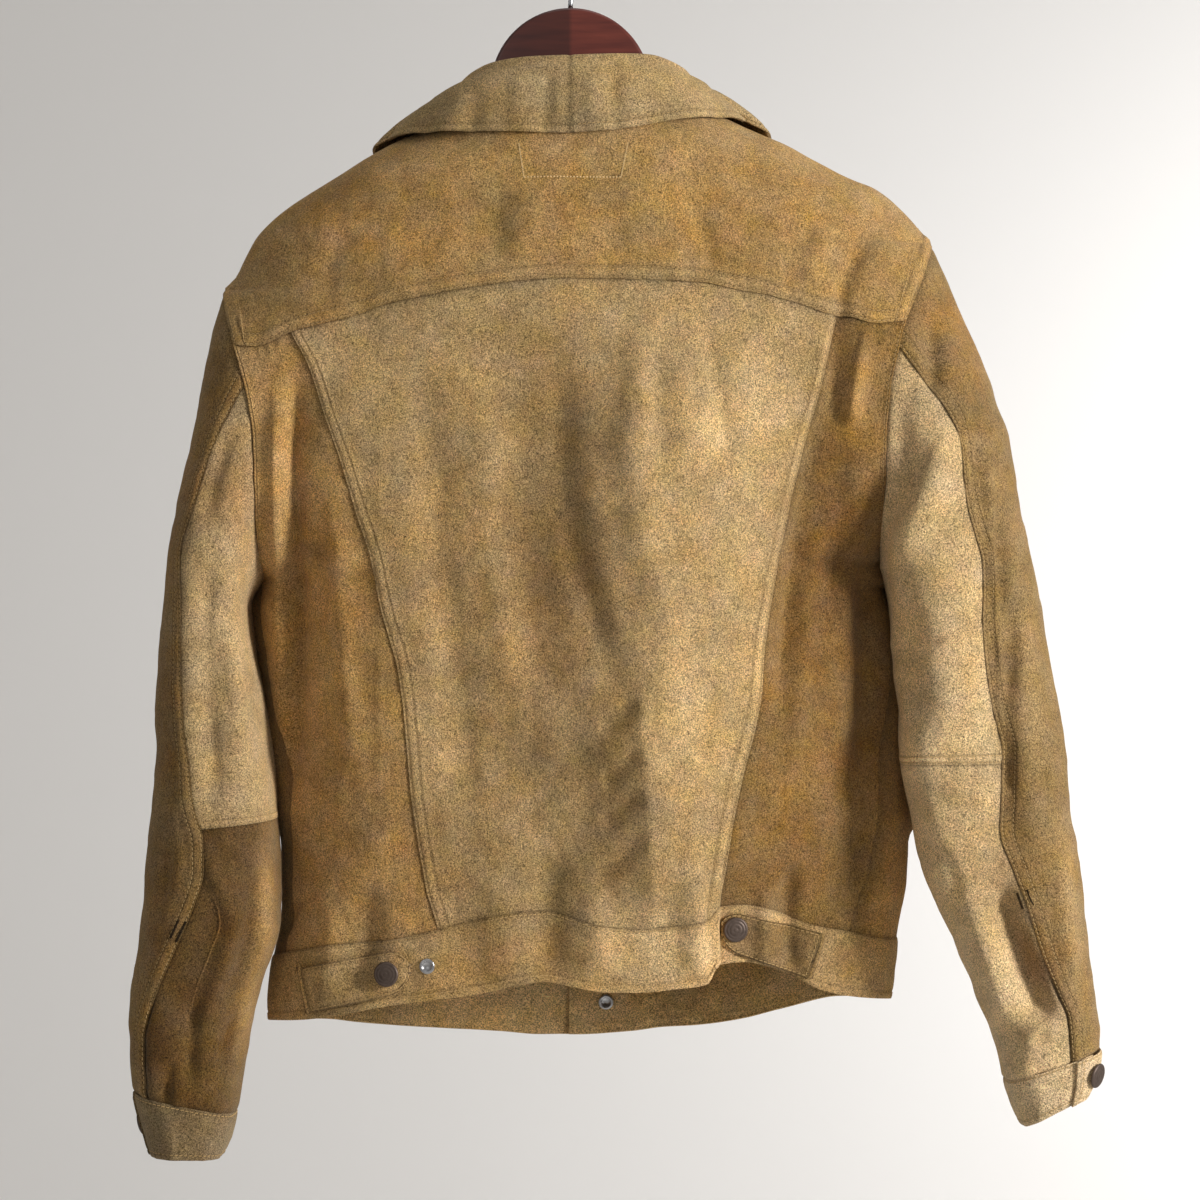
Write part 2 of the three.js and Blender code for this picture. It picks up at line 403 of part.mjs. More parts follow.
// hem band: its columns meet the columns of the panels above
function band(ths, dip) {
  const A = ths.map(th => steps(3).map(t => [th, lerp(bandT(th), bandB(th), t)]));
  const N = A.map(r => r.map(q => bodyN(q[0], q[1])));
  const P = A.map((r, i) => r.map((q, j) => {
    const p = body(q[0], q[1]);
    return p.addScaledVector(N[i][j], dip ? -UNDER_DROP * (1 - step(LAP_X + 4, LAP_X + 26, p.x)) : 0);
  }));
  return wall(P, N);
}
const JOIN = angleAt(gx(586, -66), gd(955));
const backTh = [...sideLGrid, ...midGrid.slice(1), ...sideRGrid.slice(1)].map(l => l[l.length - 1][0]);
add('waistband_back_left', band([...backTh.filter(t => t < JOIN - 0.01), JOIN]), SUEDE.band);
add('waistband_back_right', band([JOIN, ...backTh.filter(t => t > JOIN + 0.01)]), SUEDE.band);
add('waistband_front_left', band(frontHem(-1, LAP_X)), SUEDE.band);
add('waistband_front_right', band(frontHem(1, LAP_UNDER), true), SUEDE.band);

// side tabs on the band: corners [u, v] sewn end top, sewn end low, free end top, free end low
const TAB_L = [[303, 968], [311, 1013], [409, 947], [411, 991]];
const TAB_R = [[824, 934], [810, 980], [724, 912], [724, 950]];
function tabGrid(c, n) {
  const [a, b, e, g] = c, A = [];
  for (const f of steps(n)) {
    const round = f > 0.84 ? Math.sqrt(1 - ((f - 0.84) / 0.19) ** 2) : 1;
    A.push(steps(2).map(t => {
      const w = 0.5 + (t - 0.5) * round;
      const [x, d] = onBack(lerp(lerp(a[0], b[0], w), lerp(e[0], g[0], w), f), lerp(lerp(a[1], b[1], w), lerp(e[1], g[1], w), f));
      return [angleAt(x, d), d];
    }));
  }
  return A;
}
const lifted = (A, thick, lift) => {
  const N = A.map(r => r.map(q => bodyN(q[0], q[1])));
  return wall(A.map((r, i) => r.map((q, j) => body(q[0], q[1]).addScaledVector(N[i][j], lift + thick))), N, thick, 0);
};
add('tab_left', lifted(tabGrid(TAB_L, 9), TAB_CLOTH, TAB_LIFT + 0.6), SUEDE.tab);
add('tab_right', lifted(tabGrid(TAB_R, 9), TAB_CLOTH, TAB_LIFT + 0.9), SUEDE.tab);

// ---------- collar: stand up from the neckline, over the roll, fall out to the leaf edge ----------
// half table: neck angle (deg), roll x y z, leaf x, drop, on front?
const COLLAR_L = [[0, 0, -45, -105.7, -1, 162.4, 0], [-22, -28, -43, -106.6, -45, 161.4, 0], [-44, -50, -36, -109, -88, 161.2, 0],
  [-64, -65, -23, -114, -117, 162.2, 0], [-80, -74, -8, -120, -131, 165, 0], [-97, -78, 9, -125.5, -137, 170, 1],
  [-116, -74, 27, -137, -132, 186, 1], [-140, -56, 44, -157, -117, 216, 1], [-160, -33, 54, -176, -97, 244, 1], [-176, -12, 60, -191, -74, 264, 1]];
const COLLAR_R = [[0, 0, -45, -105.7, 1, 162.4, 0], [22, 28, -43, -104.6, 35, 159.5, 0], [44, 52, -36, -104, 82, 152, 0],
  [64, 68, -23, -107, 113, 149.8, 0], [80, 79, -8, -112, 131, 154.5, 0], [97, 83, 9, -118, 140, 162, 1],
  [116, 80, 27, -131, 138, 178, 1], [140, 62, 44, -153, 125, 208, 1], [160, 40, 54, -173, 105, 238, 1], [176, 20, 60, -189, 82, 260, 1]];
const ROLL_R = 3.4, LEAF_CLEAR = 3.9;
function collarHalf(rows, s) {
  const P = rows.map(([a, rx, ry, rz, lx, ld, fr]) => {
    const th = a * RAD, front = Math.abs(a) > 90;
    const nkx = BODY_X + (NECK_X[s < 0 ? 0 : 1] - BODY_X) * Math.sin(Math.abs(th));
    const nd = front ? neckFront(nkx) : neckBack(nkx);
    const n0 = body(angleAt(nkx, nd, front), nd);
    const up = new THREE.Vector3(rx, ry, rz).sub(n0).normalize();
    const N = n0.clone().addScaledVector(up, 1.6);
    N.x += (BODY_X - N.x) * 0.012; N.y += -N.y * 0.02;
    const lth = angleAt(lx, ld, !!fr), L = body(lth, ld).addScaledVector(bodyN(lth, ld), LEAF_CLEAR);
    if (a === 0) { L.x = 0; N.x = 0; }
    const R = new THREE.Vector3(rx, ry, rz - COLLAR_CLOTH / 2);
    const fall = L.clone().sub(R), side = new THREE.Vector3(fall.x, fall.y, 0).normalize();
    if (a === 0) side.set(0, -1, 0);
    const inner = R.clone().addScaledVector(side, -ROLL_R).setZ(R.z - ROLL_R);
    const outerP = R.clone().addScaledVector(side, ROLL_R).setZ(R.z - ROLL_R);
    const bulge = (t, k) => outerP.clone().lerp(L, t).addScaledVector(side, k * 0.6).add(new THREE.Vector3(0, 0, k * 0.6));
    const k = front ? 6.5 : 4;
    const clear = p => {         // keep the fall off the front under it
      if (p.y < 5) return p;
      const y = body(angleAt(p.x, -p.z, true), -p.z).y + LEAF_CLEAR + 2.2;
      if (Math.abs(p.x - BODY_X) < Math.abs(edge(s, -p.z) - BODY_X)) p.y = Math.max(p.y, y);
      return p;
    };
    return [N, N.clone().lerp(inner, 0.55), inner, R.clone().addScaledVector(side, -ROLL_R * 0.7).setZ(R.z - ROLL_R * 0.3), R,
      R.clone().addScaledVector(side, ROLL_R * 0.7).setZ(R.z - ROLL_R * 0.3), clear(outerP), clear(bulge(0.3, k * 0.8)), clear(bulge(0.6, k)), clear(bulge(0.82, k * 0.6)), L];
  });
  const C = P[0].length, N = P.map((r, i) => r.map((p, j) => {
    const a = P[Math.min(P.length - 1, i + 1)][j].clone().sub(P[Math.max(0, i - 1)][j]);
    const b = r[Math.min(C - 1, j + 1)].clone().sub(r[Math.max(0, j - 1)]);
    if (i === 0) a.set(s, 0, 0);
    const n = b.cross(a).normalize().multiplyScalar(s);
    if (i === 0) n.x = 0;
    return n.normalize();
  }));
  return wall(P.map((r, i) => r.map((p, j) => p.clone().addScaledVector(N[i][j], COLLAR_CLOTH / 2))), N, COLLAR_CLOTH);
}
add('collar_left', collarHalf(COLLAR_L, -1), SUEDE.collar);
add('collar_right', collarHalf(COLLAR_R, 1), SUEDE.collar);

// ---------- sleeves ----------
const SIDES = [[-1, 'left'], [1, 'right']];
const TOP_K = [0, 0.5, 1, 2, 3, 4, 5, 6, 7, 8, 9, 10, 11, 12, 13, 14, 15, 16];
function sleevePart(s, ks, a0, a1, n) {
  const A = ks.map(k => steps(n).map(f => [k, lerp(a0(k), a1(k), f)]));
  const N = A.map(r => r.map(([k, ps]) => (k === 0 ? armN(s, ps) : sleeveN(s, k, ps))));
  return wall(A.map(r => r.map(([k, ps]) => sleeve(s, k, ps))), N, CLOTH, undefined, ks[0] === 0 ? ARM_GAP : undefined);
}
for (const [s, side] of SIDES) {
  const back = k => backSeam(s, k), front = () => FRONT_SEAM, round = () => FRONT_SEAM + 2 * Math.PI;
  add(`sleeve_top_${side}`, sleevePart(s, TOP_K, front, back, 8), SUEDE.sleeve);
  add(`sleeve_under_upper_${side}`, sleevePart(s, TOP_K.filter(k => k <= ELBOW_K), back, round, 10), SUEDE.under);
  add(`sleeve_under_lower_${side}`, sleevePart(s, TOP_K.filter(k => k >= ELBOW_K), back, round, 10), SUEDE.low);
  // cuff: one strip round the wrist, its end lapped over the start
  const lap0 = (s < 0 ? 8 : 68) * RAD, LAP = 22 * RAD, N = 22;
  const A = [CUFF_K, (CUFF_K + END_K) / 2, END_K].map(k => steps(N).map(f => [k, lap0 - LAP + f * (2 * Math.PI + LAP), f]));
  const Nn = A.map(r => r.map(([k, ps]) => sleeveN(s, k, ps)));
  const P = A.map((r, i) => r.map(([k, ps, f], j) => sleeve(s, k, ps).addScaledVector(Nn[i][j], 2.7 * step(0.80, 0.93, f))));
  add(`cuff_${side}`, wall(P, Nn), SUEDE.cuff);
}

// ---------- snaps ----------
function lathe(profile, n = 16) { return new THREE.LatheGeometry(profile.map(([r, z]) => new THREE.Vector2(r, z)), n); }
const cap = () => lathe([[0, 0], [CAP_R * 0.92, 0], [CAP_R, 0.8], [CAP_R * 0.9, 2.0], [CAP_R * 0.55, CAP_H - 0.3], [0, CAP_H]]);
const stud = () => lathe([[0, 0], [RING_R, 0], [RING_R, RING_H], [RING_R * 0.62, RING_H], [RING_R * 0.55, 0.7], [0, 0.7]]);
function place(name, geo, p, n, color = 0x37322f, metal = 0.8) {
  const q = new THREE.Quaternion().setFromUnitVectors(new THREE.Vector3(0, 1, 0), n);
  geo.applyQuaternion(q); geo.translate(p.x, p.y, p.z);
  add(name, geo, color, 0.45, metal);
}
function onBody(u, v, lift, front = false) {
  const [x, d] = onBack(u, v, front), th = angleAt(x, d, front), n = bodyN(th, d);
  return [body(th, d).addScaledVector(n, lift), n];
}
const ON_TAB = TAB_CLOTH + TAB_LIFT + 1.4;
place('snap_tab_left', cap(), ...onBody(388, 973.6, ON_TAB));
place('snap_tab_right', cap(), ...onBody(737, 931, ON_TAB + 0.3));
place('stud_band_left', stud(), ...onBody(427.5, 966, 0.5), 0xb9bcc0, 1);
{
  const [x, d] = onBack(606, 1001.6, true), th = angleAt(x, d, true), n = bodyN(th, d);   // on the inside of the lapped right front band
  place('stud_band_inside', stud(), body(th, d).addScaledVector(n, -CLOTH - UNDER_DROP - 0.5), n.clone().negate(), 0xb9bcc0, 1);
}
for (const [s, side] of SIDES) {
  const ps = (s < 0 ? -26 : 44) * RAD, k = CUFF_K + 0.9, n = sleeveN(s, k, ps);
  place(`snap_cuff_${side}`, cap(), sleeve(s, k, ps).addScaledVector(n, 3.6), n);
}
const CAPS_Z = [-330, -415, -500, -585, -670, -768];     // front closure, on the lapping edge
CAPS_Z.forEach((z, i) => {
  const th = angleAt(20, -z, true), n = bodyN(th, -z);
  place(`snap_front_${i + 1}`, cap(), body(th, -z).addScaledVector(n, 0.5), n);
});

// ---------- hanger ----------
const top = s => [88, 105, 125, 145, 165, 185, 200].map(a => [s * a, -(ridge(s, s * a) + 4.6)]);
{
  const L = top(-1), R = top(1), sh = new THREE.Shape(), arc = 14;
  const endX = 216, lerpZ = (T, a) => T[T.length - 1][1] - a;
  sh.moveTo(-endX + 8, lerpZ(L, 10));
  for (const [x, z] of L.slice().reverse()) sh.lineTo(x, z);
  sh.lineTo(-68, L[0][1] + 4.5); sh.lineTo(-59.5, L[0][1] + 11);
  for (let i = 0; i <= arc; i++) { const a = Math.PI - 0.06 - i / arc * (Math.PI - 0.12); sh.lineTo(DOME_R * Math.cos(a), DOME_Z + DOME_R * Math.sin(a)); }
  sh.lineTo(60, R[0][1] + 9); sh.lineTo(68, R[0][1] + 3.5);
  for (const [x, z] of R) sh.lineTo(x, z);
  sh.lineTo(endX - 8, lerpZ(R, 10)); sh.lineTo(endX, lerpZ(R, 22)); sh.lineTo(endX - 2, lerpZ(R, 30)); sh.lineTo(endX - 10, lerpZ(R, 34));
  sh.lineTo(160, R[4][1] - 34); sh.lineTo(110, R[1][1] - 44); sh.lineTo(60, -188); sh.lineTo(0, -180); sh.lineTo(-60, -190);
  sh.lineTo(-110, L[1][1] - 44); sh.lineTo(-160, L[4][1] - 34);
  sh.lineTo(-endX + 10, lerpZ(L, 34)); sh.lineTo(-endX + 2, lerpZ(L, 30)); sh.lineTo(-endX, lerpZ(L, 22));
  sh.closePath();
  const B = 2.2, g = new THREE.ExtrudeGeometry(sh, { depth: HANGER_T - 2 * B, bevelEnabled: true, bevelThickness: B, bevelSize: B, bevelOffset: -B, bevelSegments: 2, steps: 1 });
  g.rotateX(Math.PI / 2); g.translate(0, HANGER_T / 2 - B, 0);
  add('hanger_body', g, 0x7a3f30, 0.35);
}
class Hook extends THREE.Curve {
  getPoint(t) {
    const c = WIRE_R - HOOK_R;               // middle of the loop
    const low = DOME_Z + DOME_R + 0.4, a0 = -62 * RAD, turn = 250 * RAD;
    const join = new THREE.Vector3(HOOK_R * Math.cos(a0), 0, c + HOOK_R * Math.sin(a0));
    if (t < 0.3) {
      const u = t / 0.3, p0 = new THREE.Vector3(0, 0, low), p1 = new THREE.Vector3(0, 0, c - HOOK_R - 1);
      const p2 = join.clone().add(new THREE.Vector3(-Math.cos(a0 + Math.PI / 2), 0, -Math.sin(a0 + Math.PI / 2)).multiplyScalar(7));
      const q = (a, b) => a.clone().lerp(b, u), a = q(p0, p1), b = q(p1, p2), d = q(p2, join);
      return a.clone().lerp(b, u).lerp(b.clone().lerp(d, u), u);
    }
    const a = a0 + (t - 0.3) / 0.7 * turn;
    return new THREE.Vector3(HOOK_R * Math.cos(a), 0, c + HOOK_R * Math.sin(a));
  }
}
{
  const ringShape = new THREE.Shape(); ringShape.absarc(0, 0, WIRE_R, 0, 2 * Math.PI, false);
  add('hanger_hook', new THREE.ExtrudeGeometry(ringShape, { steps: 34, extrudePath: new Hook(), bevelEnabled: false, curveSegments: 4 }), 0xb4b7bb, 0.3, 1);
}
export default group;
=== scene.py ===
import math
import bpy
import numpy as np
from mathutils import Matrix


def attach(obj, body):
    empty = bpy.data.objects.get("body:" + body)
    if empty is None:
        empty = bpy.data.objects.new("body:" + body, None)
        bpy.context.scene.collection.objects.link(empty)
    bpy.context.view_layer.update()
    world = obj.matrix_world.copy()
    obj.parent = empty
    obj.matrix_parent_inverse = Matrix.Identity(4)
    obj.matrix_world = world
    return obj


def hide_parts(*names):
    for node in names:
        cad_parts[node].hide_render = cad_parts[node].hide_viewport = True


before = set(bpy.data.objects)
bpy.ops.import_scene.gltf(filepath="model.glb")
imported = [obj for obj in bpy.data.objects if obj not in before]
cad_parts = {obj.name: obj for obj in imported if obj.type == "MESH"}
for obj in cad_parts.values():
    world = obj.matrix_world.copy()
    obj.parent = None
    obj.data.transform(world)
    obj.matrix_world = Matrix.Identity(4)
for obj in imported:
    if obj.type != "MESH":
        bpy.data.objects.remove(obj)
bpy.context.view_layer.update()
RAD = math.pi / 180.0
rng = np.random.default_rng(7)

# ------------------------------------------------------------------ form of the jacket (mm)
CLOTH, COLLAR_CLOTH = 1.6, 2.0
GRID, GRID_MID, MID_X, MID_Z, EYE = 0.7, 600.0, 20.65, -481.98, 3000.0
BODY_X, BODY_POWER, ARM_HALF = 4.6, 2.4, 62.0


def gx(u, y=0.0):
    return MID_X + (u - GRID_MID) * GRID * (1 + y / EYE)


def gd(v, y=0.0):
    return -MID_Z + (v - GRID_MID) * GRID * (1 + y / EYE)


def to_u(x, y):
    return GRID_MID + (x - MID_X) / (GRID * (1 + y / EYE))


def to_v(d, y):
    return GRID_MID + (d + MID_Z) / (GRID * (1 + y / EYE))


class Curve:
    """Monotone cubic through a table, held flat outside it."""

    def __init__(self, xs, ys):
        self.x, self.y = np.asarray(xs, float), np.asarray(ys, float)
        h = np.diff(self.x)
        s = np.diff(self.y) / h
        m = np.zeros(len(self.x))
        for i in range(1, len(m) - 1):
            if s[i - 1] * s[i] > 0:
                a, b = 2 * h[i] + h[i - 1], h[i] + 2 * h[i - 1]
                m[i] = (a + b) / (a / s[i - 1] + b / s[i])
        m[0], m[-1] = s[0], s[-1]
        self.h, self.m = h, m

    def __call__(self, q):
        q = np.clip(np.asarray(q, float), self.x[0], self.x[-1])
        i = np.clip(np.searchsorted(self.x, q, side="right") - 1, 0, len(self.h) - 1)
        h = self.h[i]
        t = (q - self.x[i]) / h
        t2, t3 = t * t, t * t * t
        return (self.y[i] * (2 * t3 - 3 * t2 + 1) + self.m[i] * h * (t3 - 2 * t2 + t)
                + self.y[i + 1] * (3 * t2 - 2 * t3) + self.m[i + 1] * h * (t3 - t2))


# outline rows (v, u): shoulder ridge, armhole edge and side, as in the solids
OUT_L = [(60, 560), (96, 489), (114, 452), (128, 427), (148, 385), (180, 333), (208, 289), (228, 266), (241, 255),
         (258, 246), (283, 233), (293, 225), (303, 227), (320, 231), (339, 237), (377, 248), (404, 255), (440, 260),
         (491, 261.5), (532, 262), (560, 264), (577, 266), (600, 262.5), (640, 261.5), (668, 263), (700, 267), (747, 273), (800, 279),
         (850, 281.5), (900, 282), (955, 274), (1000, 269), (1060, 268)]
OUT_R = [(60, 600), (90, 662), (105, 695), (138, 767), (147, 788), (160, 812), (179, 850), (190, 876), (208, 899),
         (230, 919), (246, 930.5), (258, 927), (270, 923), (300, 911), (333, 898), (358, 892), (391, 885), (433, 881),
         (482, 880), (524, 877.5), (545, 877), (562, 879), (580, 885), (606, 892), (640, 898), (668, 900.5), (697, 902.5), (744, 900.5),
         (769, 901.5), (800, 905.5), (828, 908.5), (878, 907), (913, 901), (938, 897), (966, 894), (992, 890), (1060, 884)]
ARM = {-1: (gd(293), gd(577)), 1: (gd(246), gd(562))}
DEPTH = [(60, 36, 30), (98, 45, 40), (112, 48, 44), (140, 55, 52), (180, 62, 60), (220, 68, 66), (280, 75, 72),
         (350, 79, 75), (450, 80, 76), (600, 79, 75), (700, 77, 73), (800, 74, 71), (900, 69, 68), (960, 66, 65), (1060, 64, 64)]
SIDE_L = [(577, 90), (600, 86), (650, 80), (700, 77), (800, 74), (900, 73), (1060, 73)]
SIDE_R = [(562, 90), (590, 86), (640, 80), (700, 74), (760, 69), (823, 64), (881, 60), (930, 57.5), (1060, 56)]


def col(rows, k):
    return np.array([r[k] for r in rows], float)


edge_l = Curve(gd(col(OUT_L, 0)), gx(col(OUT_L, 1)))
edge_r = Curve(gd(col(OUT_R, 0)), gx(col(OUT_R, 1)))
back_depth = Curve(gd(col(DEPTH, 0)), col(DEPTH, 1))
front_depth = Curve(gd(col(DEPTH, 0)), col(DEPTH, 2))
side_l = Curve(gd(col(SIDE_L, 0)), col(SIDE_L, 1) * RAD)
side_r = Curve(gd(col(SIDE_R, 0)), col(SIDE_R, 1) * RAD)


def edge(s, d):
    return np.where(s < 0, edge_l(d), edge_r(d))


def arm_y(s, d):
    out = 0.0
    for side in (-1, 1):
        a, b = ARM[side]
        t = (d - (a + b) / 2) / ((b - a) / 2)
        out = out + np.where((s < 0) == (side < 0), ARM_HALF * np.sqrt(np.clip(1 - t * t, 0, 1)), 0.0)
    return out


def step(a, b, x):
    t = np.clip((x - a) / (b - a), 0, 1)
    return t * t * (3 - 2 * t)


RECESS = dict(u0=705, u1=714, v0=830, v1=930, depth=10.0)


def body(th, d):
    a = (np.asarray(th, float) + math.pi) % (2 * math.pi) - math.pi
    d = np.asarray(d, float)
    s, p = np.where(a < 0, -1, 1), np.abs(a)
    is_back = p < math.pi / 2
    e, h = edge(s, d), arm_y(s, d)
    dep = np.where(is_back, back_depth(d), front_depth(d))
    t, m = np.sin(p), 2 - 0.9 * h / ARM_HALF
    y = h + (dep - h) * np.clip(1 - t ** BODY_POWER, 0, 1) ** (1 / m)
    x = BODY_X + (e - BODY_X) * t
    return np.stack([x, np.where(is_back, -y, y), -d], -1)


def unit(v):
    return v / np.maximum(np.linalg.norm(v, axis=-1, keepdims=True), 1e-9)


def body_n(th, d):
    th, d = np.broadcast_arrays(np.asarray(th, float), np.asarray(d, float))
    a = (th + math.pi) % (2 * math.pi) - math.pi
    s, q = np.where(a < 0, -1, 1), np.abs(a)
    near = (np.abs(q - math.pi / 2) < 0.035) & (arm_y(s, d) > 0)
    a = np.where(near, s * np.where(q <= math.pi / 2, math.pi / 2 - 0.05, math.pi / 2 + 0.05), a)
    n = unit(np.cross(body(a + 0.012, d) - body(a - 0.012, d), body(a, d + 0.6) - body(a, d - 0.6)))
    p = body(a, d)
    c = np.stack([BODY_X + (p[..., 0] - BODY_X) * 0.6, np.zeros_like(a), p[..., 2] - 25], -1)
    return n * np.where(np.sum(n * (p - c), -1) < 0, -1, 1)[..., None]


def angle_at(x, d, front=False):
    s = np.where(np.asarray(x) < BODY_X, -1, 1)
    t = np.clip(np.abs((x - BODY_X) / (edge(s, d) - BODY_X)), 0, 1)
    return s * (math.pi - np.arcsin(t) if front else np.arcsin(t))


def on_back(u, v, front=False):
    x, d = gx(np.asarray(u, float)), gd(np.asarray(v, float))
    for _ in range(6):
        y = body(angle_at(x, d, front), d)[..., 1]
        x, d = gx(u, y), gd(v, y)
    return x, d


YOKE = [(236, 352), (255, 346), (293, 331), (346, 318), (391, 303), (440, 293), (490, 284), (526, 280), (564, 278),
        (606, 278.5), (656, 280), (700, 282), (733, 289), (766, 295), (800, 304), (826, 313), (849, 316), (874, 323), (900, 330)]
BACK_L = [(291, 333), (307, 363), (322, 410), (339, 459), (355, 511), (370, 560), (380, 606), (397, 670), (405, 730),
          (410, 790), (421, 860), (427, 893), (437, 926), (440, 945)]
BACK_R = [(838, 318), (820, 390), (800, 470), (780, 560), (766, 640), (761, 691), (754, 728), (744, 765), (738, 790),
          (733, 813), (728, 844), (725, 870), (721, 905), (720, 925)]
_x, _d = on_back(col(YOKE, 0), col(YOKE, 1))
yoke_seam = Curve(_x, _d)
_x, _d = on_back(col(BACK_L, 0), col(BACK_L, 1))
back_seam_l = Curve(_d, _x)
_x, _d = on_back(col(BACK_R, 0), col(BACK_R, 1))
back_seam_r = Curve(_d, _x)

BAND_BACK = [(274, 955, 1020), (300, 950, 1020), (330, 945, 1017), (389, 940, 1006), (436, 930, 1000), (480, 919, 994),
             (521, 912, 985), (545, 912, 982), (573, 918, 987), (604, 926, 992.5), (637, 929, 993), (679, 925, 989),
             (708, 919, 984), (717, 909, 968), (746, 906, 964), (780, 913, 971), (804, 923, 981), (824, 928, 991), (846, 931, 996),
             (871, 936, 998), (890, 939, 998)]
BAND_FRONT = [(838, 996), (780, 1009), (740, 1019), (696, 1025), (662, 1027), (629, 1031), (577, 1034),
              (538, 1034), (500, 1031), (406, 1026), (356, 1022), (330, 1019)]
BAND_H = 45.0


def ring(rows):
    rows = sorted(rows)
    full = [(a - 360, b) for a, b in rows] + rows + [(a + 360, b) for a, b in rows]
    return Curve(col(full, 0), col(full, 1))


def _band():
    top, low = [], []
    for u, vt, vb in BAND_BACK:
        x, d = on_back(u, vt)
        top.append((float(angle_at(x, d)) / RAD, float(d)))
        x, d = on_back(u, vb)
        low.append((float(angle_at(x, d)) / RAD, float(d)))
    for u, vb in BAND_FRONT:
        x, d = on_back(u, vb, True)
        a = float(angle_at(x, d, True)) / RAD
        a += 360 if a < 0 else 0
        top.append((a, float(d) - BAND_H))
        low.append((a, float(d)))
    return ring(top), ring(low)


_bt, _bl = _band()


def band_top(th):
    return _bt(((np.asarray(th) / RAD) + 180) % 360 - 180)


def band_low(th):
    return _bl(((np.asarray(th) / RAD) + 180) % 360 - 180)


NECK_X = (gx(452), gx(695))
neck_back = Curve([NECK_X[0], BODY_X, NECK_X[1]], [gd(114), gd(112), gd(105)])
neck_front = Curve([NECK_X[0], -60, -35, BODY_X, 45, 70, NECK_X[1]], [gd(114), gd(158), gd(198), gd(215), gd(198), gd(152), gd(105)])


def ridge(s, x):
    x = np.asarray(x, float)
    a = np.full_like(x, (gd(114) if s < 0 else gd(105)) - 8)
    b = np.full_like(x, ARM[s][0])
    for _ in range(40):
        m = (a + b) / 2
        up = (edge(s, m) - x) * s < 0
        a, b = np.where(up, m, a), np.where(up, b, m)
    return (a + b) / 2


# sleeves: (outer u, v, inner u, v, middle y, half depth)
SLEEVE_L = [(225, 293, 266, 577, 0, 62), (213, 338, 263, 582, -1, 64), (203, 385, 259, 588, -2, 67),
            (193, 441, 254, 596, -3, 69), (183, 492, 251, 606, -4, 70), (172, 555, 252, 622, -6, 69), (165, 622, 254, 645, -9, 67),
            (160, 689, 263, 692, -13, 64), (157, 747, 270, 747, -19, 60), (155, 805, 276, 800, -26, 56), (151, 832, 277, 818, -30, 55),
            (146, 885, 279, 880, -36, 52), (140, 929, 279, 925, -38, 50), (135, 979, 264, 975, -38, 48), (132, 1020, 253, 1018, -38, 46),
            (132, 1052, 246, 1058, -38, 44), (137, 1090, 237, 1110, -38, 41), (146, 1127, 231, 1136, -38, 38), (153, 1153, 223, 1155, -38, 37)]
SLEEVE_R = [(930.5, 246, 879, 562, 0, 62), (951, 290, 882, 567, -1, 64), (970, 337, 885, 573, -2, 67),
            (990, 390, 887, 580, -4, 68), (1006, 440, 890, 590, -6, 67), (1020, 512, 895, 606, -10, 64), (1033, 575, 900, 634, -14, 61),
            (1044, 630, 903, 668, -18, 58), (1053, 683, 907, 705, -24, 56), (1060, 725, 903, 742, -29, 54), (1065, 760, 904, 763, -32, 53),
            (1072, 830, 919, 842, -36, 50), (1080, 900, 938, 900, -38, 48), (1088, 955, 960, 950, -38, 46), (1095, 1000, 983, 1008, -38, 44),
            (1099, 1030, 998, 1052, -38, 42), (1098, 1046, 1004, 1078, -38, 40), (1094, 1068, 1011, 1100, -38, 37), (1084, 1090, 1021, 1124, -38, 35)]
CUFF_K, END_K, ELBOW_K = 16, 18, 10
SQUARE = 0.11
GUIDE = {s: [Curve(range(len(t)), col(t, k)) for k in range(6)] for s, t in ((-1, SLEEVE_L), (1, SLEEVE_R))}


def oval(s, k, ps):
    g = [c(k) for c in GUIDE[s]]
    y, w = g[4], g[5]
    ox, od, ix, idd = gx(g[0], y), gd(g[1], y), gx(g[2], y), gd(g[3], y)
    q = 1 + SQUARE * (1 - np.cos(4 * ps)) / 2
    c, sn = np.cos(ps) * q, np.sin(ps) * q
    return np.stack([(ox + ix) / 2 + (ox - ix) / 2 * c, y - w * sn, -((od + idd) / 2 + (od - idd) / 2 * c)], -1)


def arm_edge(s, ps):
    a, b = ARM[s]
    d = (a + b) / 2 - (b - a) / 2 * np.cos(ps)
    return np.stack([edge(s, d), -ARM_HALF * np.sin(ps), -d], -1)


def sleeve(s, k, ps):
    k, ps = np.broadcast_arrays(np.asarray(k, float), np.asarray(ps, float))
    fade = np.clip(1 - k / 4, 0, 1)[..., None]
    return oval(s, k, ps) + fade * (arm_edge(s, ps) - oval(s, np.zeros_like(k), ps))


def sleeve_n(s, k, ps):
    k, ps = np.broadcast_arrays(np.clip(np.asarray(k, float), 0.06, END_K - 0.06), np.asarray(ps, float))
    n = unit(np.cross(sleeve(s, k + 0.05, ps) - sleeve(s, k - 0.05, ps), sleeve(s, k, ps + 0.01) - sleeve(s, k, ps - 0.01)))
    p = sleeve(s, k, ps)
    c = (sleeve(s, k, np.zeros_like(ps)) + sleeve(s, k, np.full_like(ps, math.pi))) / 2
    return n * np.where(np.sum(n * (p - c), -1) < 0, -1, 1)[..., None]


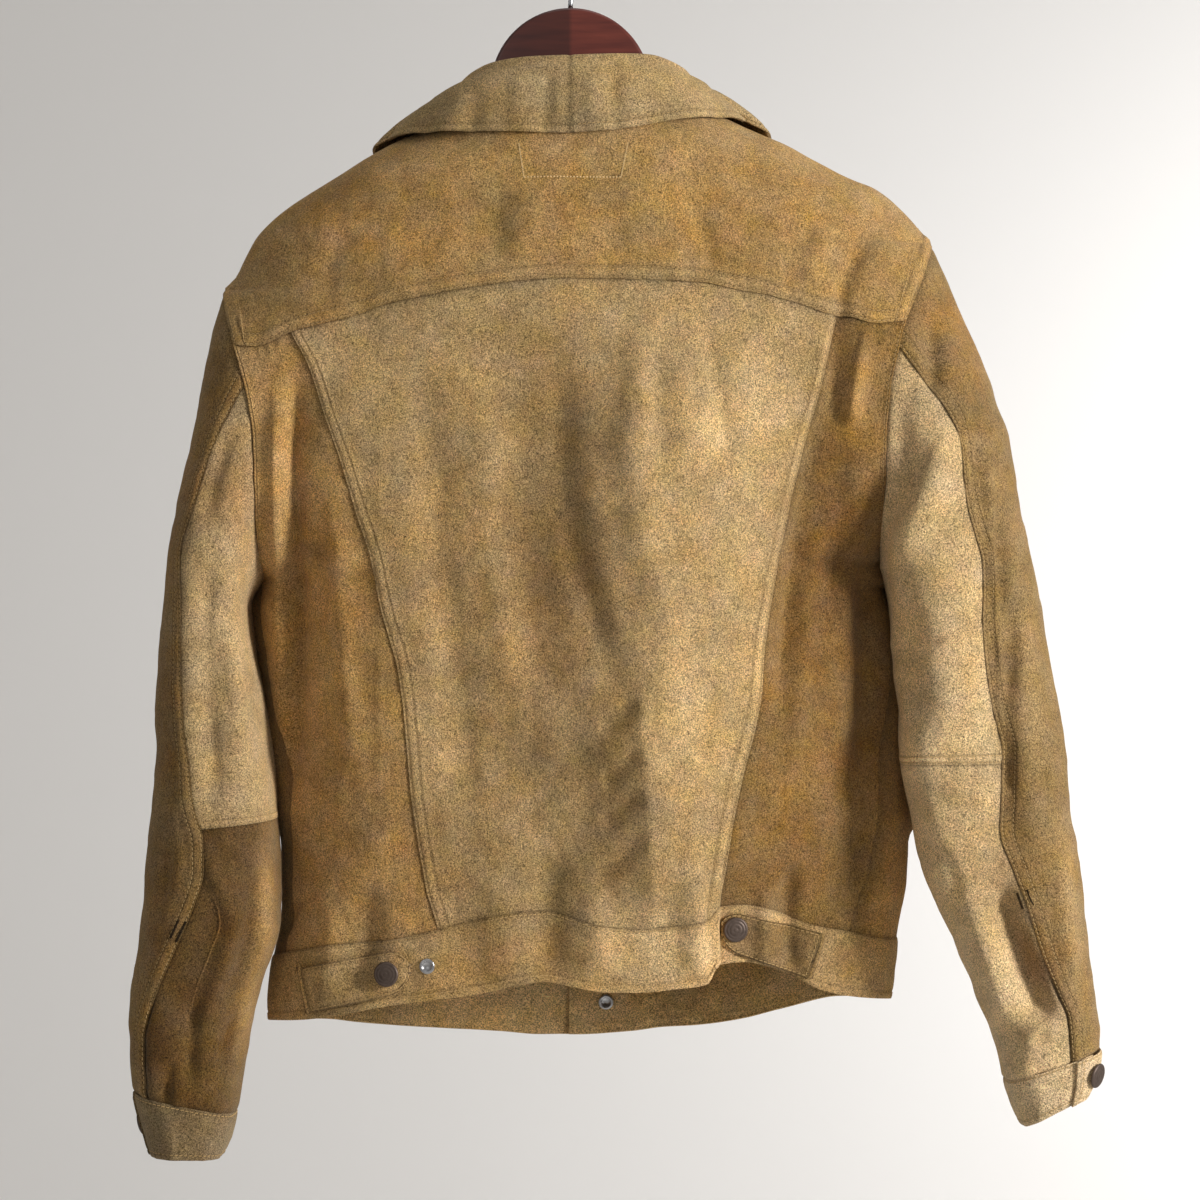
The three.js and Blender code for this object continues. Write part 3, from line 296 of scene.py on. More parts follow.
ARMSEAM_L = [(377, 248), (413, 229), (443, 214), (467, 205), (499, 196), (532, 186), (560, 181.5), (598, 181), (656, 181),
             (689, 182), (739, 185), (772, 190), (800, 193), (821, 198), (838, 203), (871, 204), (904, 195), (924, 187), (944, 178),
             (992, 158), (1024, 147), (1040, 144), (1120, 148)]
ARMSEAM_R = [(342, 896), (376, 921), (410, 946), (434, 958), (457, 962), (482, 964.5), (507, 968), (540, 977), (560, 983),
             (593, 984), (615, 983), (648, 985), (697, 991), (727, 998), (749, 1003), (790, 1002), (830, 1000), (870, 1013), (904, 1026),
             (954, 1042), (996, 1059), (1020, 1069), (1100, 1073)]
SEAM_U = {-1: Curve(col(ARMSEAM_L, 0), col(ARMSEAM_L, 1)), 1: Curve(col(ARMSEAM_R, 0), col(ARMSEAM_R, 1))}
FRONT_SEAM = -70 * RAD


def back_seam(s, k):
    k = np.asarray(k, float)
    a, b = np.full_like(k, 0.06), np.full_like(k, 2.0)
    for _ in range(34):
        m = (a + b) / 2
        p = sleeve(s, k, m)
        g = (to_u(p[..., 0], p[..., 1]) - SEAM_U[s](to_v(-p[..., 2], p[..., 1]))) * s
        a, b = np.where(g > 0, m, a), np.where(g > 0, b, m)
    return (a + b) / 2


# ------------------------------------------------------------------ folds: (kind, height mm, left width, right width, path of (u, v)); crest and cut are the sharp kinds of ridge and valley
# widths are in grid units either side of the path, left and right as one looks down it
BODY_FOLDS = [
    ("cut", 14.0, 6, 24, [(299, 352), (292, 420), (289, 500), (290, 580), (292, 650), (288, 740), (286, 815)]),
    ("ridge", 12.0, 78, 95, [(690, 300), (668, 450), (650, 600), (648, 700), (652, 800), (658, 930)]),
    ("valley", 8.0, 60, 52, [(540, 330), (522, 450), (512, 600), (500, 720), (505, 860)]),
    ("cut", 13.0, 16, 46, [(826, 390), (810, 470), (796, 560), (788, 640), (778, 720)]),
    ("ridge", 4.0, 14, 14, [(864, 440), (860, 520), (850, 640)]),
    ("ridge", 4.5, 9, 7, [(279, 370), (274, 470), (276, 560), (281, 660), (281, 760)]),
    ("ridge", 3.5, 12, 14, [(330, 480), (335, 580), (345, 680), (352, 780)]),
    ("valley", 3.0, 12, 10, [(318, 538), (322, 566)]),
    ("valley", 3.0, 14, 16, [(507, 180), (499, 215), (496, 275)]),
    ("ridge", 2.5, 16, 18, [(455, 190), (445, 270)]),
    ("valley", 4.5, 18, 16, [(556, 330), (562, 410), (566, 489), (582, 570), (603, 650), (640, 705)]),
    ("ridge", 4.0, 18, 20, [(640, 300), (640, 360), (632, 440), (640, 540), (672, 640)]),
    ("valley", 4.0, 11, 15, [(657, 350), (661, 405), (664, 465)]),
    ("ridge", 4.0, 20, 22, [(470, 330), (485, 430), (490, 540), (505, 640), (520, 760)]),
    ("valley", 4.0, 18, 18, [(410, 340), (428, 450), (440, 560), (450, 660), (462, 770), (470, 880)]),
    ("crest", 10.0, 38, 80, [(636, 660), (643, 740), (648, 800), (651, 860), (655, 935)]),
    ("valley", 3.0, 8, 9, [(638, 700), (618, 717), (598, 732)]),
    ("valley", 3.2, 8, 9, [(641, 750), (622, 767), (600, 783)]),
    ("valley", 3.2, 8, 9, [(645, 792), (622, 808), (597, 822)]),
    ("valley", 3.2, 8, 9, [(646, 834), (620, 858), (592, 882)]),
    ("valley", 2.4, 5, 5, [(662, 862), (694, 861), (726, 863)]),
    ("valley", 3.0, 9, 9, [(655, 770), (684, 752), (712, 742)]),
    ("valley", 5.5, 9, 9, [(877, 226), (866, 244), (854, 263), (843, 286), (838, 330), (835, 380), (834, 440)]),
    ("ridge", 5.0, 7, 10, [(868, 320), (862, 345), (854, 385), (849, 430)]),
    ("ridge", 3.5, 12, 12, [(830, 222), (815, 255), (808, 290)]),
    ("valley", 7.0, 16, 18, [(868, 540), (872, 600), (873, 660), (868, 730), (866, 790)]),
    ("ridge", 3.5, 13, 12, [(822, 520), (812, 600), (800, 690), (790, 780)]),
    ("valley", 3.0, 6, 6, [(858, 886), (872, 902), (890, 926)]),
    ("valley", 2.6, 5, 5, [(285, 934), (292, 918), (301, 898)]),
    ("valley", 5.0, 10, 9, [(790, 860), (791, 905), (792, 945), (797, 985)]),
    ("ridge", 3.5, 9, 10, [(768, 880), (766, 930), (764, 975)]),
    ("valley", 6.0, 17, 20, [(545, 850), (548, 900), (551, 950), (556, 990)]),
    ("ridge", 4.0, 18, 16, [(592, 880), (598, 930), (602, 985)]),
    ("ridge", 4.0, 18, 16, [(498, 870), (500, 920), (497, 990)]),
    ("ridge", 6.0, 20, 9, [(694, 850), (697, 890), (698, 930), (697, 985)]),
    ("valley", 3.5, 14, 12, [(372, 880), (368, 930), (362, 1005)]),
    ("ridge", 2.5, 14, 12, [(335, 900), (330, 960), (328, 1010)]),
    ("valley", 2.2, 9, 9, [(700, 300), (716, 380), (728, 470)]),
    ("valley", 2.2, 12, 12, [(350, 225), (330, 262), (322, 300)]),
    ("valley", 2.0, 10, 10, [(690, 190), (705, 235), (712, 275)]),
]
SLEEVE_FOLDS = {
    -1: [
        ("valley", 5.0, 10, 9, [(232, 430), (215, 478), (203, 522)]),
        ("valley", 4.5, 12, 10, [(213, 545), (207, 620), (209, 700), (214, 780), (216, 820)]),
        ("ridge", 3.5, 10, 12, [(234, 560), (232, 650), (240, 740), (246, 800)]),
        ("ridge", 3.5, 7, 10, [(206, 838), (210, 868), (221, 893), (232, 926), (223, 962), (209, 1004), (197, 1040)]),
        ("valley", 4.0, 9, 9, [(238, 850), (252, 890), (250, 940), (232, 990)]),
        ("valley", 4.0, 9, 8, [(196, 1000), (191, 1040), (190, 1090)]),
        ("valley", 3.0, 6, 6, [(168, 842), (166, 870), (160, 905)]),
        ("valley", 2.5, 7, 7, [(262, 836), (244, 842), (224, 838)]),
        ("valley", 2.6, 6, 6, [(240, 1010), (226, 1040), (222, 1080)]),
        ("valley", 2.5, 6, 6, [(172, 1060), (166, 1085), (168, 1105)]),
        ("valley", 3.0, 9, 9, [(230, 590), (222, 650), (226, 720)]),
    ],
    1: [
        ("valley", 5.0, 9, 10, [(927, 318), (932, 352), (934, 396)]),
        ("valley", 4.0, 12, 14, [(900, 372), (898, 420), (904, 468)]),
        ("ridge", 5.5, 14, 18, [(952, 425), (932, 475), (915, 530), (903, 575)]),
        ("valley", 4.5, 8, 8, [(1016, 596), (1013, 650), (1012, 700)]),
        ("valley", 4.0, 8, 8, [(1014, 735), (1011, 765), (1012, 800)]),
        ("ridge", 3.0, 6, 5, [(988, 415), (988, 470), (993, 540), (998, 606), (1003, 681), (1005, 750)]),
        ("valley", 2.5, 9, 9, [(916, 600), (922, 660), (926, 720)]),
        ("crest", 9.0, 18, 40, [(915, 470), (908, 560), (905, 640), (914, 700), (934, 800), (944, 850), (956, 900), (973, 950)]),
        ("valley", 5.5, 22, 9, [(992, 480), (998, 600), (1003, 700), (1006, 800), (1014, 860)]),
        ("valley", 12.5, 15, 12, [(1000, 880), (1012, 930), (1026, 970), (1038, 1000), (1055, 1026)]),
        ("ridge", 5.0, 10, 10, [(966, 880), (980, 930), (996, 985), (1004, 1030)]),
        ("ridge", 5.0, 8, 8, [(1022, 1048), (1040, 1028), (1060, 1030)]),
        ("valley", 3.5, 7, 7, [(930, 790), (955, 806), (985, 800)]),
        ("valley", 3.0, 7, 7, [(925, 835), (950, 860), (965, 900)]),
        ("ridge", 4.0, 9, 9, [(1062, 850), (1066, 930), (1074, 985)]),
    ],
}


def path_distance(U, V, path):
    """Signed distance to a path and the share of its length at the nearest point."""
    best = np.full(U.shape, 1e9)
    sign = np.ones(U.shape)
    along = np.zeros(U.shape)
    pts = np.array(path, float)
    seg = np.diff(pts, axis=0)
    L = np.hypot(seg[:, 0], seg[:, 1])
    run_l = np.concatenate([[0], np.cumsum(L)])
    for i in range(len(seg)):
        ax, ay = pts[i]
        dx, dy = seg[i]
        t = ((U - ax) * dx + (V - ay) * dy) / (L[i] ** 2)
        tc = np.clip(t, 0, 1)
        q = np.hypot(U - ax - tc * dx, V - ay - tc * dy)
        hit = q < best
        best = np.where(hit, q, best)
        sg = np.sign((U - ax) * dy - (V - ay) * dx)
        sign = np.where(hit, np.where(sg == 0, 1, sg), sign)
        along = np.where(hit, (run_l[i] + tc * L[i]) / run_l[-1], along)
    return best * sign, along


def folds(U, V, table):
    out = np.zeros(U.shape)
    for kind, height, wl, wr, path in table:
        u = [p[0] for p in path]
        v = [p[1] for p in path]
        w = max(wl, wr) * 3.2
        box = (U > min(u) - w) & (U < max(u) + w) & (V > min(v) - w) & (V < max(v) + w)
        if not box.any():
            continue
        s, a = path_distance(U[box], V[box], path)
        width = np.where(s < 0, wl, wr)
        ends = np.minimum(step(-0.02, 0.22, a), step(1.02, 0.78, a))
        prof = (np.exp(-(s / width) ** 2) if kind in ("ridge", "valley") else np.exp(-(np.sqrt(s * s + 5.0) - 2.2) / width)) * ends
        out[box] += (height if kind in ("ridge", "crest") else -height) * prof
    return out


def _hash(ix, iy, seed):
    n = (ix * 374761393 + iy * 668265263 + seed * 1442695041) & 0x7FFFFFFF
    n = ((n ^ (n >> 13)) * 1274126177) & 0x7FFFFFFF
    return ((n ^ (n >> 16)) & 0xFFFF) / 65535.0 * 2 - 1


def noise2(a, b, size, seed):
    """Smooth value noise of unit height with cells of the given size."""
    a, b = a / size, b / size
    i, j = np.floor(a).astype(np.int64), np.floor(b).astype(np.int64)
    f, g = a - i, b - j
    f, g = f * f * (3 - 2 * f), g * g * (3 - 2 * g)
    return ((_hash(i, j, seed) * (1 - f) + _hash(i + 1, j, seed) * f) * (1 - g)
            + (_hash(i, j + 1, seed) * (1 - f) + _hash(i + 1, j + 1, seed) * f) * g)


def drape(U, V, seed):
    """Small uneven waviness of worn suede."""
    return (1.3 * noise2(U, V, 62, seed) + 0.75 * noise2(U + 0.35 * V, V, 29, seed + 1)
            + 0.32 * noise2(U, V - 0.2 * U, 13, seed + 2) + 0.16 * noise2(U, V, 6.5, seed + 3))


def slit(s, d):
    """Space left between body side and sleeve at drop d, as seen from behind, mm."""
    kq = np.linspace(0, 12, 80)
    q = sleeve(s, kq, np.full(80, math.pi))
    order = np.argsort(-q[:, 2])
    inner = np.interp(d, -q[order, 2], q[order, 0])
    g = (inner - edge(s, d)) * s
    return np.clip(g + (8.5 if s < 0 else 13.0), 0, 20) * step(ARM[s][1] - 16, ARM[s][1] - 4, d) * step(gd(845), gd(815), d)


def touch(P, s):
    """Swelling of the body side that closes the slit as seen from behind, ahead of the sleeve."""
    d = -P[..., 2]
    return slit(s, d) * np.exp(-((P[..., 1] - 17) / 15) ** 2)


def body_lift(P, back):
    """Fold height over the body at points P; the front, out of view, has plainer folds of the same kind."""
    U, V = to_u(P[..., 0], P[..., 1]), to_v(-P[..., 2], P[..., 1])
    out = np.zeros(U.shape)
    b = folds(U, V, BODY_FOLDS) + drape(U, V, 11)
    f = 0.75 * folds(1180 - U, V + 12, BODY_FOLDS[:24]) + drape(U, V, 31)
    w = step(-14, 14, P[..., 1])
    out = b * (1 - w) + f * w
    s = np.where(P[..., 0] < BODY_X, -1, 1)
    d = -P[..., 2]
    close = np.abs(P[..., 0] - edge(s, d))
    inside = (d > np.where(s < 0, ARM[-1][0], ARM[1][0]) - 12) & (d < np.where(s < 0, ARM[-1][1], ARM[1][1]) + 14)
    out = out * np.where(inside, step(0, 20, close), 1.0)
    ridge_band = step(0, 26, np.abs(P[..., 1]))
    out = out * np.where(d < 240, 0.25 + 0.75 * ridge_band, 1.0)
    # the middle of the back and its band stand over the right part, which lies deeper
    x = P[..., 0]
    lap = step(gx(718, -66), gx(722.5, -66), x) * step(gd(838), gd(925), d) * (1 - step(gx(775), gx(880), x)) * (1 - w)
    swell = np.where(s < 0, touch(P, -1), touch(P, 1)) * step(40, 22, close)
    return out - 11.0 * lap + swell


def sleeve_lift(s, k, ps, P):
    U, V = to_u(P[..., 0], P[..., 1]), to_v(-P[..., 2], P[..., 1])
    g = folds(U, V, SLEEVE_FOLDS[s]) + drape(U, V, 51 + s)
    h = 0.8 * folds(U + 6 * s, V + 26, SLEEVE_FOLDS[s]) + drape(U + 90, V, 71 + s)
    w = step(0.25, -0.25, np.sin(ps))
    out = g * (1 - w) + h * w
    return out * step(0.0, 1.3, k)


# ------------------------------------------------------------------ colours: patches (u, v, half width, half height, tilt deg, colour, weight)
def lin(r, g, b):
    c = np.array([r, g, b], float) / 255.0
    return np.where(c <= 0.04045, c / 12.92, ((c + 0.055) / 1.055) ** 2.4)


TAN = lin(186, 147, 92)
# Base colours are partly the leather's own colour and partly painted light and shade: the right under sleeve, right
# cuff and right band are painted lighter, where the light falls, and the left lower sleeve, left cuff and right side
# panel darker, in shade.
BASE = dict(yoke=lin(187, 149, 94), centre=lin(198, 165, 116), side_l=lin(196, 155, 98), side_r=lin(150, 115, 67),
            band_l=lin(190, 157, 107), band_r=lin(204, 168, 116), tab=lin(190, 157, 108), tab_r=lin(140, 112, 72), collar=lin(184, 155, 109),
            top_l=lin(138, 108, 66), top_r=lin(148, 119, 77), up_l=lin(178, 151, 110), up_r=lin(226, 194, 145),
            low_l=lin(104, 76, 42), low_r=lin(228, 197, 150), cuff_l=lin(138, 117, 86), cuff_r=lin(226, 197, 154),
            front=lin(180, 143, 90))
CREAM_TONE_AND_LIGHT = lin(252, 218, 164)
ORANGE, OLIVE, PALE_TONE_AND_LIGHT, DARK_TONE_AND_SHADE, GREY, RUST, GOLD_TONE_AND_LIGHT = (lin(186, 128, 56), lin(134, 114, 72), lin(212, 178, 126), lin(120, 84, 46),
                                         lin(146, 130, 100), lin(150, 104, 62), lin(208, 162, 98))
# The patches are partly the leather's own uneven colour and partly painted light and shade: the darker ones mostly sit
# in valleys and on sides turned from the light as painted shade, and the paler, cream and gold ones on faces and rims
# turned to the light as painted light.
PATCHES = [
    (330, 215, 60, 34, -30, ORANGE, .3), (420, 240, 60, 40, 0, ORANGE, .2),
    # The darker patches at (560, 585), (545, 385), (495, 820) and (606, 800) are painted shade down the middle of the
    # back; (745, 380) is painted light.
    (560, 585, 50, 110, -8, DARK_TONE_AND_SHADE, .66), (495, 820, 46, 70, 0, DARK_TONE_AND_SHADE, .22), (606, 800, 22, 90, 0, DARK_TONE_AND_SHADE, .2), (545, 385, 48, 70, 0, DARK_TONE_AND_SHADE, .25), (606, 800, 24, 90, 0, DARK_TONE_AND_SHADE, .35), (745, 380, 60, 70, 0, PALE_TONE_AND_LIGHT, .5),
    (390, 390, 46, 60, 10, PALE_TONE_AND_LIGHT, .3), (274, 430, 12, 70, 0, GOLD_TONE_AND_LIGHT, .5), (355, 700, 36, 70, -4, GOLD_TONE_AND_LIGHT, .35), (856, 395, 13, 44, 0, GOLD_TONE_AND_LIGHT, .75),
    # (822, 545) and (805, 850) are painted shade on the right side panel in the right sleeve's shadow, over darker
    # leather; (505, 965) is painted shade in the band's valley.
    (822, 545, 30, 105, 7, DARK_TONE_AND_SHADE, .9), (805, 850, 46, 70, 0, DARK_TONE_AND_SHADE, .3), (460, 112, 50, 24, -25, PALE_TONE_AND_LIGHT, .3), (505, 965, 30, 30, 0, DARK_TONE_AND_SHADE, .5),
    (690, 700, 34, 150, 4, PALE_TONE_AND_LIGHT, .3), (960, 620, 30, 130, 0, PALE_TONE_AND_LIGHT, .3), (1066, 900, 10, 60, 0, GOLD_TONE_AND_LIGHT, .4), (502, 228, 24, 50, 5, OLIVE, .7),
    (560, 215, 30, 50, 0, ORANGE, .25), (640, 230, 46, 40, 10, OLIVE, .3), (716, 215, 50, 44, 20, ORANGE, .2),
    (790, 215, 60, 40, 30, ORANGE, .15), (868, 262, 26, 34, 20, DARK_TONE_AND_SHADE, .35), (300, 290, 40, 24, -25, OLIVE, .3),
    (466, 290, 90, 8, -6, GREY, .5), (640, 276, 110, 7, 2, GREY, .45), (800, 300, 60, 8, 14, GREY, .4),
    (480, 400, 50, 90, 10, OLIVE, .28), (440, 560, 40, 90, 8, ORANGE, .22), (560, 500, 26, 120, -6, OLIVE, .3),
    (700, 430, 60, 90, 0, PALE_TONE_AND_LIGHT, .35), (720, 600, 44, 110, 8, PALE_TONE_AND_LIGHT, .4), (640, 360, 14, 44, 0, PALE_TONE_AND_LIGHT, .35),
    (661, 410, 10, 50, 0, OLIVE, .45), (690, 760, 30, 70, 5, PALE_TONE_AND_LIGHT, .4), (600, 760, 36, 60, 20, OLIVE, .35),
    (560, 880, 60, 44, 0, OLIVE, .35), (470, 760, 36, 100, 6, OLIVE, .25), (430, 860, 26, 60, 0, ORANGE, .25),
    (520, 660, 44, 70, 12, ORANGE, .18), (600, 620, 40, 40, 0, PALE_TONE_AND_LIGHT, .2), (300, 560, 8, 200, 0, RUST, .4),
    (340, 600, 26, 110, -6, ORANGE, .2), (345, 820, 40, 70, 0, RUST, .2), (318, 553, 14, 12, 0, DARK_TONE_AND_SHADE, .6),
    (370, 720, 14, 90, -4, OLIVE, .25), (850, 640, 30, 130, -6, DARK_TONE_AND_SHADE, .4), (790, 820, 40, 60, 10, ORANGE, .15),
    (800, 450, 22, 90, 8, OLIVE, .3), (830, 760, 30, 60, 0, RUST, .3), (350, 985, 60, 20, -10, OLIVE, .25),
    (470, 960, 40, 26, -8, ORANGE, .25), (640, 960, 40, 22, 0, ORANGE, .25), (552, 950, 16, 40, 0, DARK_TONE_AND_SHADE, .4),
    (664, 955, 50, 30, 0, CREAM_TONE_AND_LIGHT, .75), (765, 915, 30, 8, 8, PALE_TONE_AND_LIGHT, .3), (838, 962, 20, 30, 0, OLIVE, .4), (940, 560, 24, 60, 0, CREAM_TONE_AND_LIGHT, .3),
    (955, 690, 24, 50, 0, CREAM_TONE_AND_LIGHT, .45), (962, 850, 22, 70, -10, CREAM_TONE_AND_LIGHT, .5), (735, 400, 50, 70, 0, CREAM_TONE_AND_LIGHT, .25), (850, 965, 30, 24, 6, ORANGE, .25),
    (430, 110, 40, 24, -35, OLIVE, .3), (560, 100, 30, 34, 0, GREY, .3), (700, 96, 40, 26, 25, PALE_TONE_AND_LIGHT, .25), (600, 110, 20, 30, 0, OLIVE, .3),
    (215, 480, 26, 60, 25, DARK_TONE_AND_SHADE, .5), (240, 500, 14, 60, 0, ORANGE, .3), (235, 640, 24, 90, 0, PALE_TONE_AND_LIGHT, .5), (224, 770, 24, 40, 0, PALE_TONE_AND_LIGHT, .4),
    (190, 600, 12, 140, 0, GREY, .25), (170, 480, 22, 90, 12, ORANGE, .3), (168, 760, 14, 120, 0, DARK_TONE_AND_SHADE, .35), (160, 930, 16, 70, 6, DARK_TONE_AND_SHADE, .35),
    (266, 900, 10, 60, 0, GOLD_TONE_AND_LIGHT, .6), (248, 1010, 9, 60, 10, GOLD_TONE_AND_LIGHT, .5), (215, 960, 20, 60, 0, DARK_TONE_AND_SHADE, .25), (190, 1050, 14, 40, 0, DARK_TONE_AND_SHADE, .35),
    (970, 668, 12, 80, 0, PALE_TONE_AND_LIGHT, .45), (940, 560, 20, 90, 10, PALE_TONE_AND_LIGHT, .4), (900, 420, 16, 50, 0, DARK_TONE_AND_SHADE, .3), (928, 519, 5, 5, 0, DARK_TONE_AND_SHADE, .6),
    (940, 641, 5, 5, 0, DARK_TONE_AND_SHADE, .6), (1010, 640, 8, 60, 0, OLIVE, .4), (1030, 700, 14, 120, -6, PALE_TONE_AND_LIGHT, .4), (960, 330, 30, 60, -30, ORANGE, .3),
    # (1033, 960), (1014, 700) and (1018, 815) are painted shade in the valleys beside the right sleeve's seam; (962,
    # 830), (985, 930), (885, 850) and (1070, 900) are painted light.
    (1000, 860, 26, 50, -15, ORANGE, .3), (1033, 960, 19, 60, -26, DARK_TONE_AND_SHADE, .85), (1014, 700, 10, 80, 0, DARK_TONE_AND_SHADE, .45), (1018, 815, 12, 60, -6, DARK_TONE_AND_SHADE, .45), (962, 830, 26, 80, -8, PALE_TONE_AND_LIGHT, .6), (985, 930, 12, 50, -20, PALE_TONE_AND_LIGHT, .5), (885, 850, 18, 80, 0, GOLD_TONE_AND_LIGHT, .6), (950, 850, 26, 40, 0, PALE_TONE_AND_LIGHT, .25), (1070, 900, 10, 90, -6, PALE_TONE_AND_LIGHT, .35),
]


def tint(P, base):
    """Colour at points P: the piece's base colour with soft patches, partly its own colour and partly painted light and
    shade; hidden sides reuse them out of step.
    """
    w = step(-10, 25, P[..., 1])
    U = to_u(P[..., 0], P[..., 1])
    V = to_v(-P[..., 2], P[..., 1])
    U = U * (1 - w) + (1190 - U) * w
    c = np.broadcast_to(base, P.shape).copy()
    n = noise2(U, V, 34, 5) * 0.5 + noise2(U, V, 15, 6) * 0.5
    for pu, pv, hu, hv, tilt, colour, weight in PATCHES:
        t = tilt * RAD
        du, dv = U - pu, V - pv
        a = (du * math.cos(t) + dv * math.sin(t)) / hu
        b = (-du * math.sin(t) + dv * math.cos(t)) / hv
        k = (weight * np.exp(-(a * a + b * b) * (1 + 0.5 * n)))[..., None]
        c = c * (1 - k) + colour * k
    m = 1 + 0.09 * noise2(U, V, 48, 21) + 0.085 * noise2(U, V, 20, 22) + 0.075 * noise2(U, V, 8, 23)
    o = np.clip(0.5 + noise2(U, V, 40, 24), 0, 1)[..., None] * 0.22
    c = c * (1 - o) + (OLIVE if base is not BASE["up_l"] else PALE_TONE_AND_LIGHT) * o
    return np.clip(c * m[..., None], 0, 1)


# ------------------------------------------------------------------ materials
def link(t, a, b):
    t.links.new(a, b)


def suede(name, grain=1.0):
    m = bpy.data.materials.new(name)
    m.use_nodes = True
    t = m.node_tree
    p = t.nodes["Principled BSDF"]
    co = t.nodes.new("ShaderNodeTexCoord")
    at = t.nodes.new("ShaderNodeAttribute")
    at.attribute_name = "tint"

    def noise(scale, detail, rough=0.6):
        n = t.nodes.new("ShaderNodeTexNoise")
        n.inputs["Scale"].default_value = scale
        n.inputs["Detail"].default_value = detail
        n.inputs["Roughness"].default_value = rough
        link(t, co.outputs["Object"], n.inputs["Vector"])
        return n

    def rng_map(n, lo, hi, a=0.25, b=0.75):
        r = t.nodes.new("ShaderNodeMapRange")
        r.inputs["From Min"].default_value, r.inputs["From Max"].default_value = a, b
        r.inputs["To Min"].default_value, r.inputs["To Max"].default_value = lo, hi
        link(t, n.outputs["Fac"], r.inputs["Value"])
        return r

    grainy, mottle, soft = noise(1020, 2, 0.85), noise(190, 4, 0.7), noise(26, 4, 0.55)
    prod = t.nodes.new("ShaderNodeMath")
    prod.operation = "MULTIPLY"
    link(t, rng_map(grainy, 1 - 0.92 * grain, 1 + 1.05 * grain, 0.3, 0.7).outputs[0], prod.inputs[0])
    link(t, rng_map(mottle, 1 - 0.12, 1 + 0.12, 0.3, 0.7).outputs[0], prod.inputs[1])
    prod2 = t.nodes.new("ShaderNodeMath")
    prod2.operation = "MULTIPLY"
    link(t, prod.outputs[0], prod2.inputs[0])
    link(t, rng_map(soft, 0.91, 1.09).outputs[0], prod2.inputs[1])
    mul = t.nodes.new("ShaderNodeVectorMath")
    mul.operation = "SCALE"
    link(t, at.outputs["Color"], mul.inputs[0])
    link(t, prod2.outputs[0], mul.inputs["Scale"])
    hue = t.nodes.new("ShaderNodeHueSaturation")
    link(t, mul.outputs[0], hue.inputs["Color"])
    link(t, rng_map(noise(70, 3), 0.492, 0.508).outputs[0], hue.inputs["Hue"])
    link(t, rng_map(noise(45, 3), 0.90, 1.10).outputs[0], hue.inputs["Saturation"])
    link(t, hue.outputs["Color"], p.inputs["Base Color"])
    p.inputs["Roughness"].default_value = 0.96
    p.inputs["Specular IOR Level"].default_value = 0.12
    p.inputs["Sheen Weight"].default_value = 0.28
    p.inputs["Sheen Roughness"].default_value = 0.45
    p.inputs["Sheen Tint"].default_value = (0.86, 0.72, 0.52, 1)
    b1 = t.nodes.new("ShaderNodeBump")
    b1.inputs["Strength"].default_value = 0.9
    b1.inputs["Distance"].default_value = 0.0014
    link(t, noise(1200, 3, 0.7).outputs["Fac"], b1.inputs["Height"])
    b2 = t.nodes.new("ShaderNodeBump")
    b2.inputs["Strength"].default_value = 0.6
    b2.inputs["Distance"].default_value = 0.0026
    link(t, noise(130, 4, 0.6).outputs["Fac"], b2.inputs["Height"])
    link(t, b1.outputs[0], b2.inputs["Normal"])
    link(t, b2.outputs[0], p.inputs["Normal"])
    return m


def plain(name, rgb, rough, metal=0.0, vary=0.15, scale=200, bump=0.0, coat=0.0):
    m = bpy.data.materials.new(name)
    m.use_nodes = True
    t = m.node_tree
    p = t.nodes["Principled BSDF"]
    co = t.nodes.new("ShaderNodeTexCoord")
    n = t.nodes.new("ShaderNodeTexNoise")
    n.inputs["Scale"].default_value = scale
    n.inputs["Detail"].default_value = 4
    link(t, co.outputs["Object"], n.inputs["Vector"])
    r = t.nodes.new("ShaderNodeMix")
    r.data_type = "RGBA"
    r.inputs["A"].default_value = (*[c * (1 - vary) for c in rgb], 1)
    r.inputs["B"].default_value = (*[min(1, c * (1 + vary)) for c in rgb], 1)
    link(t, n.outputs["Fac"], r.inputs["Factor"])
    link(t, r.outputs["Result"], p.inputs["Base Color"])
    rr = t.nodes.new("ShaderNodeMapRange")
    rr.inputs["To Min"].default_value, rr.inputs["To Max"].default_value = rough * 0.8, min(1, rough * 1.25)
    link(t, n.outputs["Fac"], rr.inputs["Value"])
    link(t, rr.outputs[0], p.inputs["Roughness"])
    p.inputs["Metallic"].default_value = metal
    if coat:
        p.inputs["Coat Weight"].default_value = coat
        p.inputs["Coat Roughness"].default_value = 0.12
    if bump:
        b = t.nodes.new("ShaderNodeBump")
        b.inputs["Strength"].default_value = bump
        b.inputs["Distance"].default_value = 0.0004
        link(t, n.outputs["Fac"], b.inputs["Height"])
        link(t, b.outputs[0], p.inputs["Normal"])
    return m


SUEDE = suede("suede_nap")
THREAD = plain("thread", lin(196, 162, 108), 0.8, vary=0.25, scale=900)
CAP = plain("snap_dark", lin(98, 84, 76), 0.46, 0.6, 0.35, 420, 0.5)
NICKEL = plain("snap_nickel", lin(196, 196, 198), 0.28, 1.0, 0.12, 300)
STEEL = plain("hook_steel", lin(186, 188, 192), 0.25, 1.0, 0.1, 200)


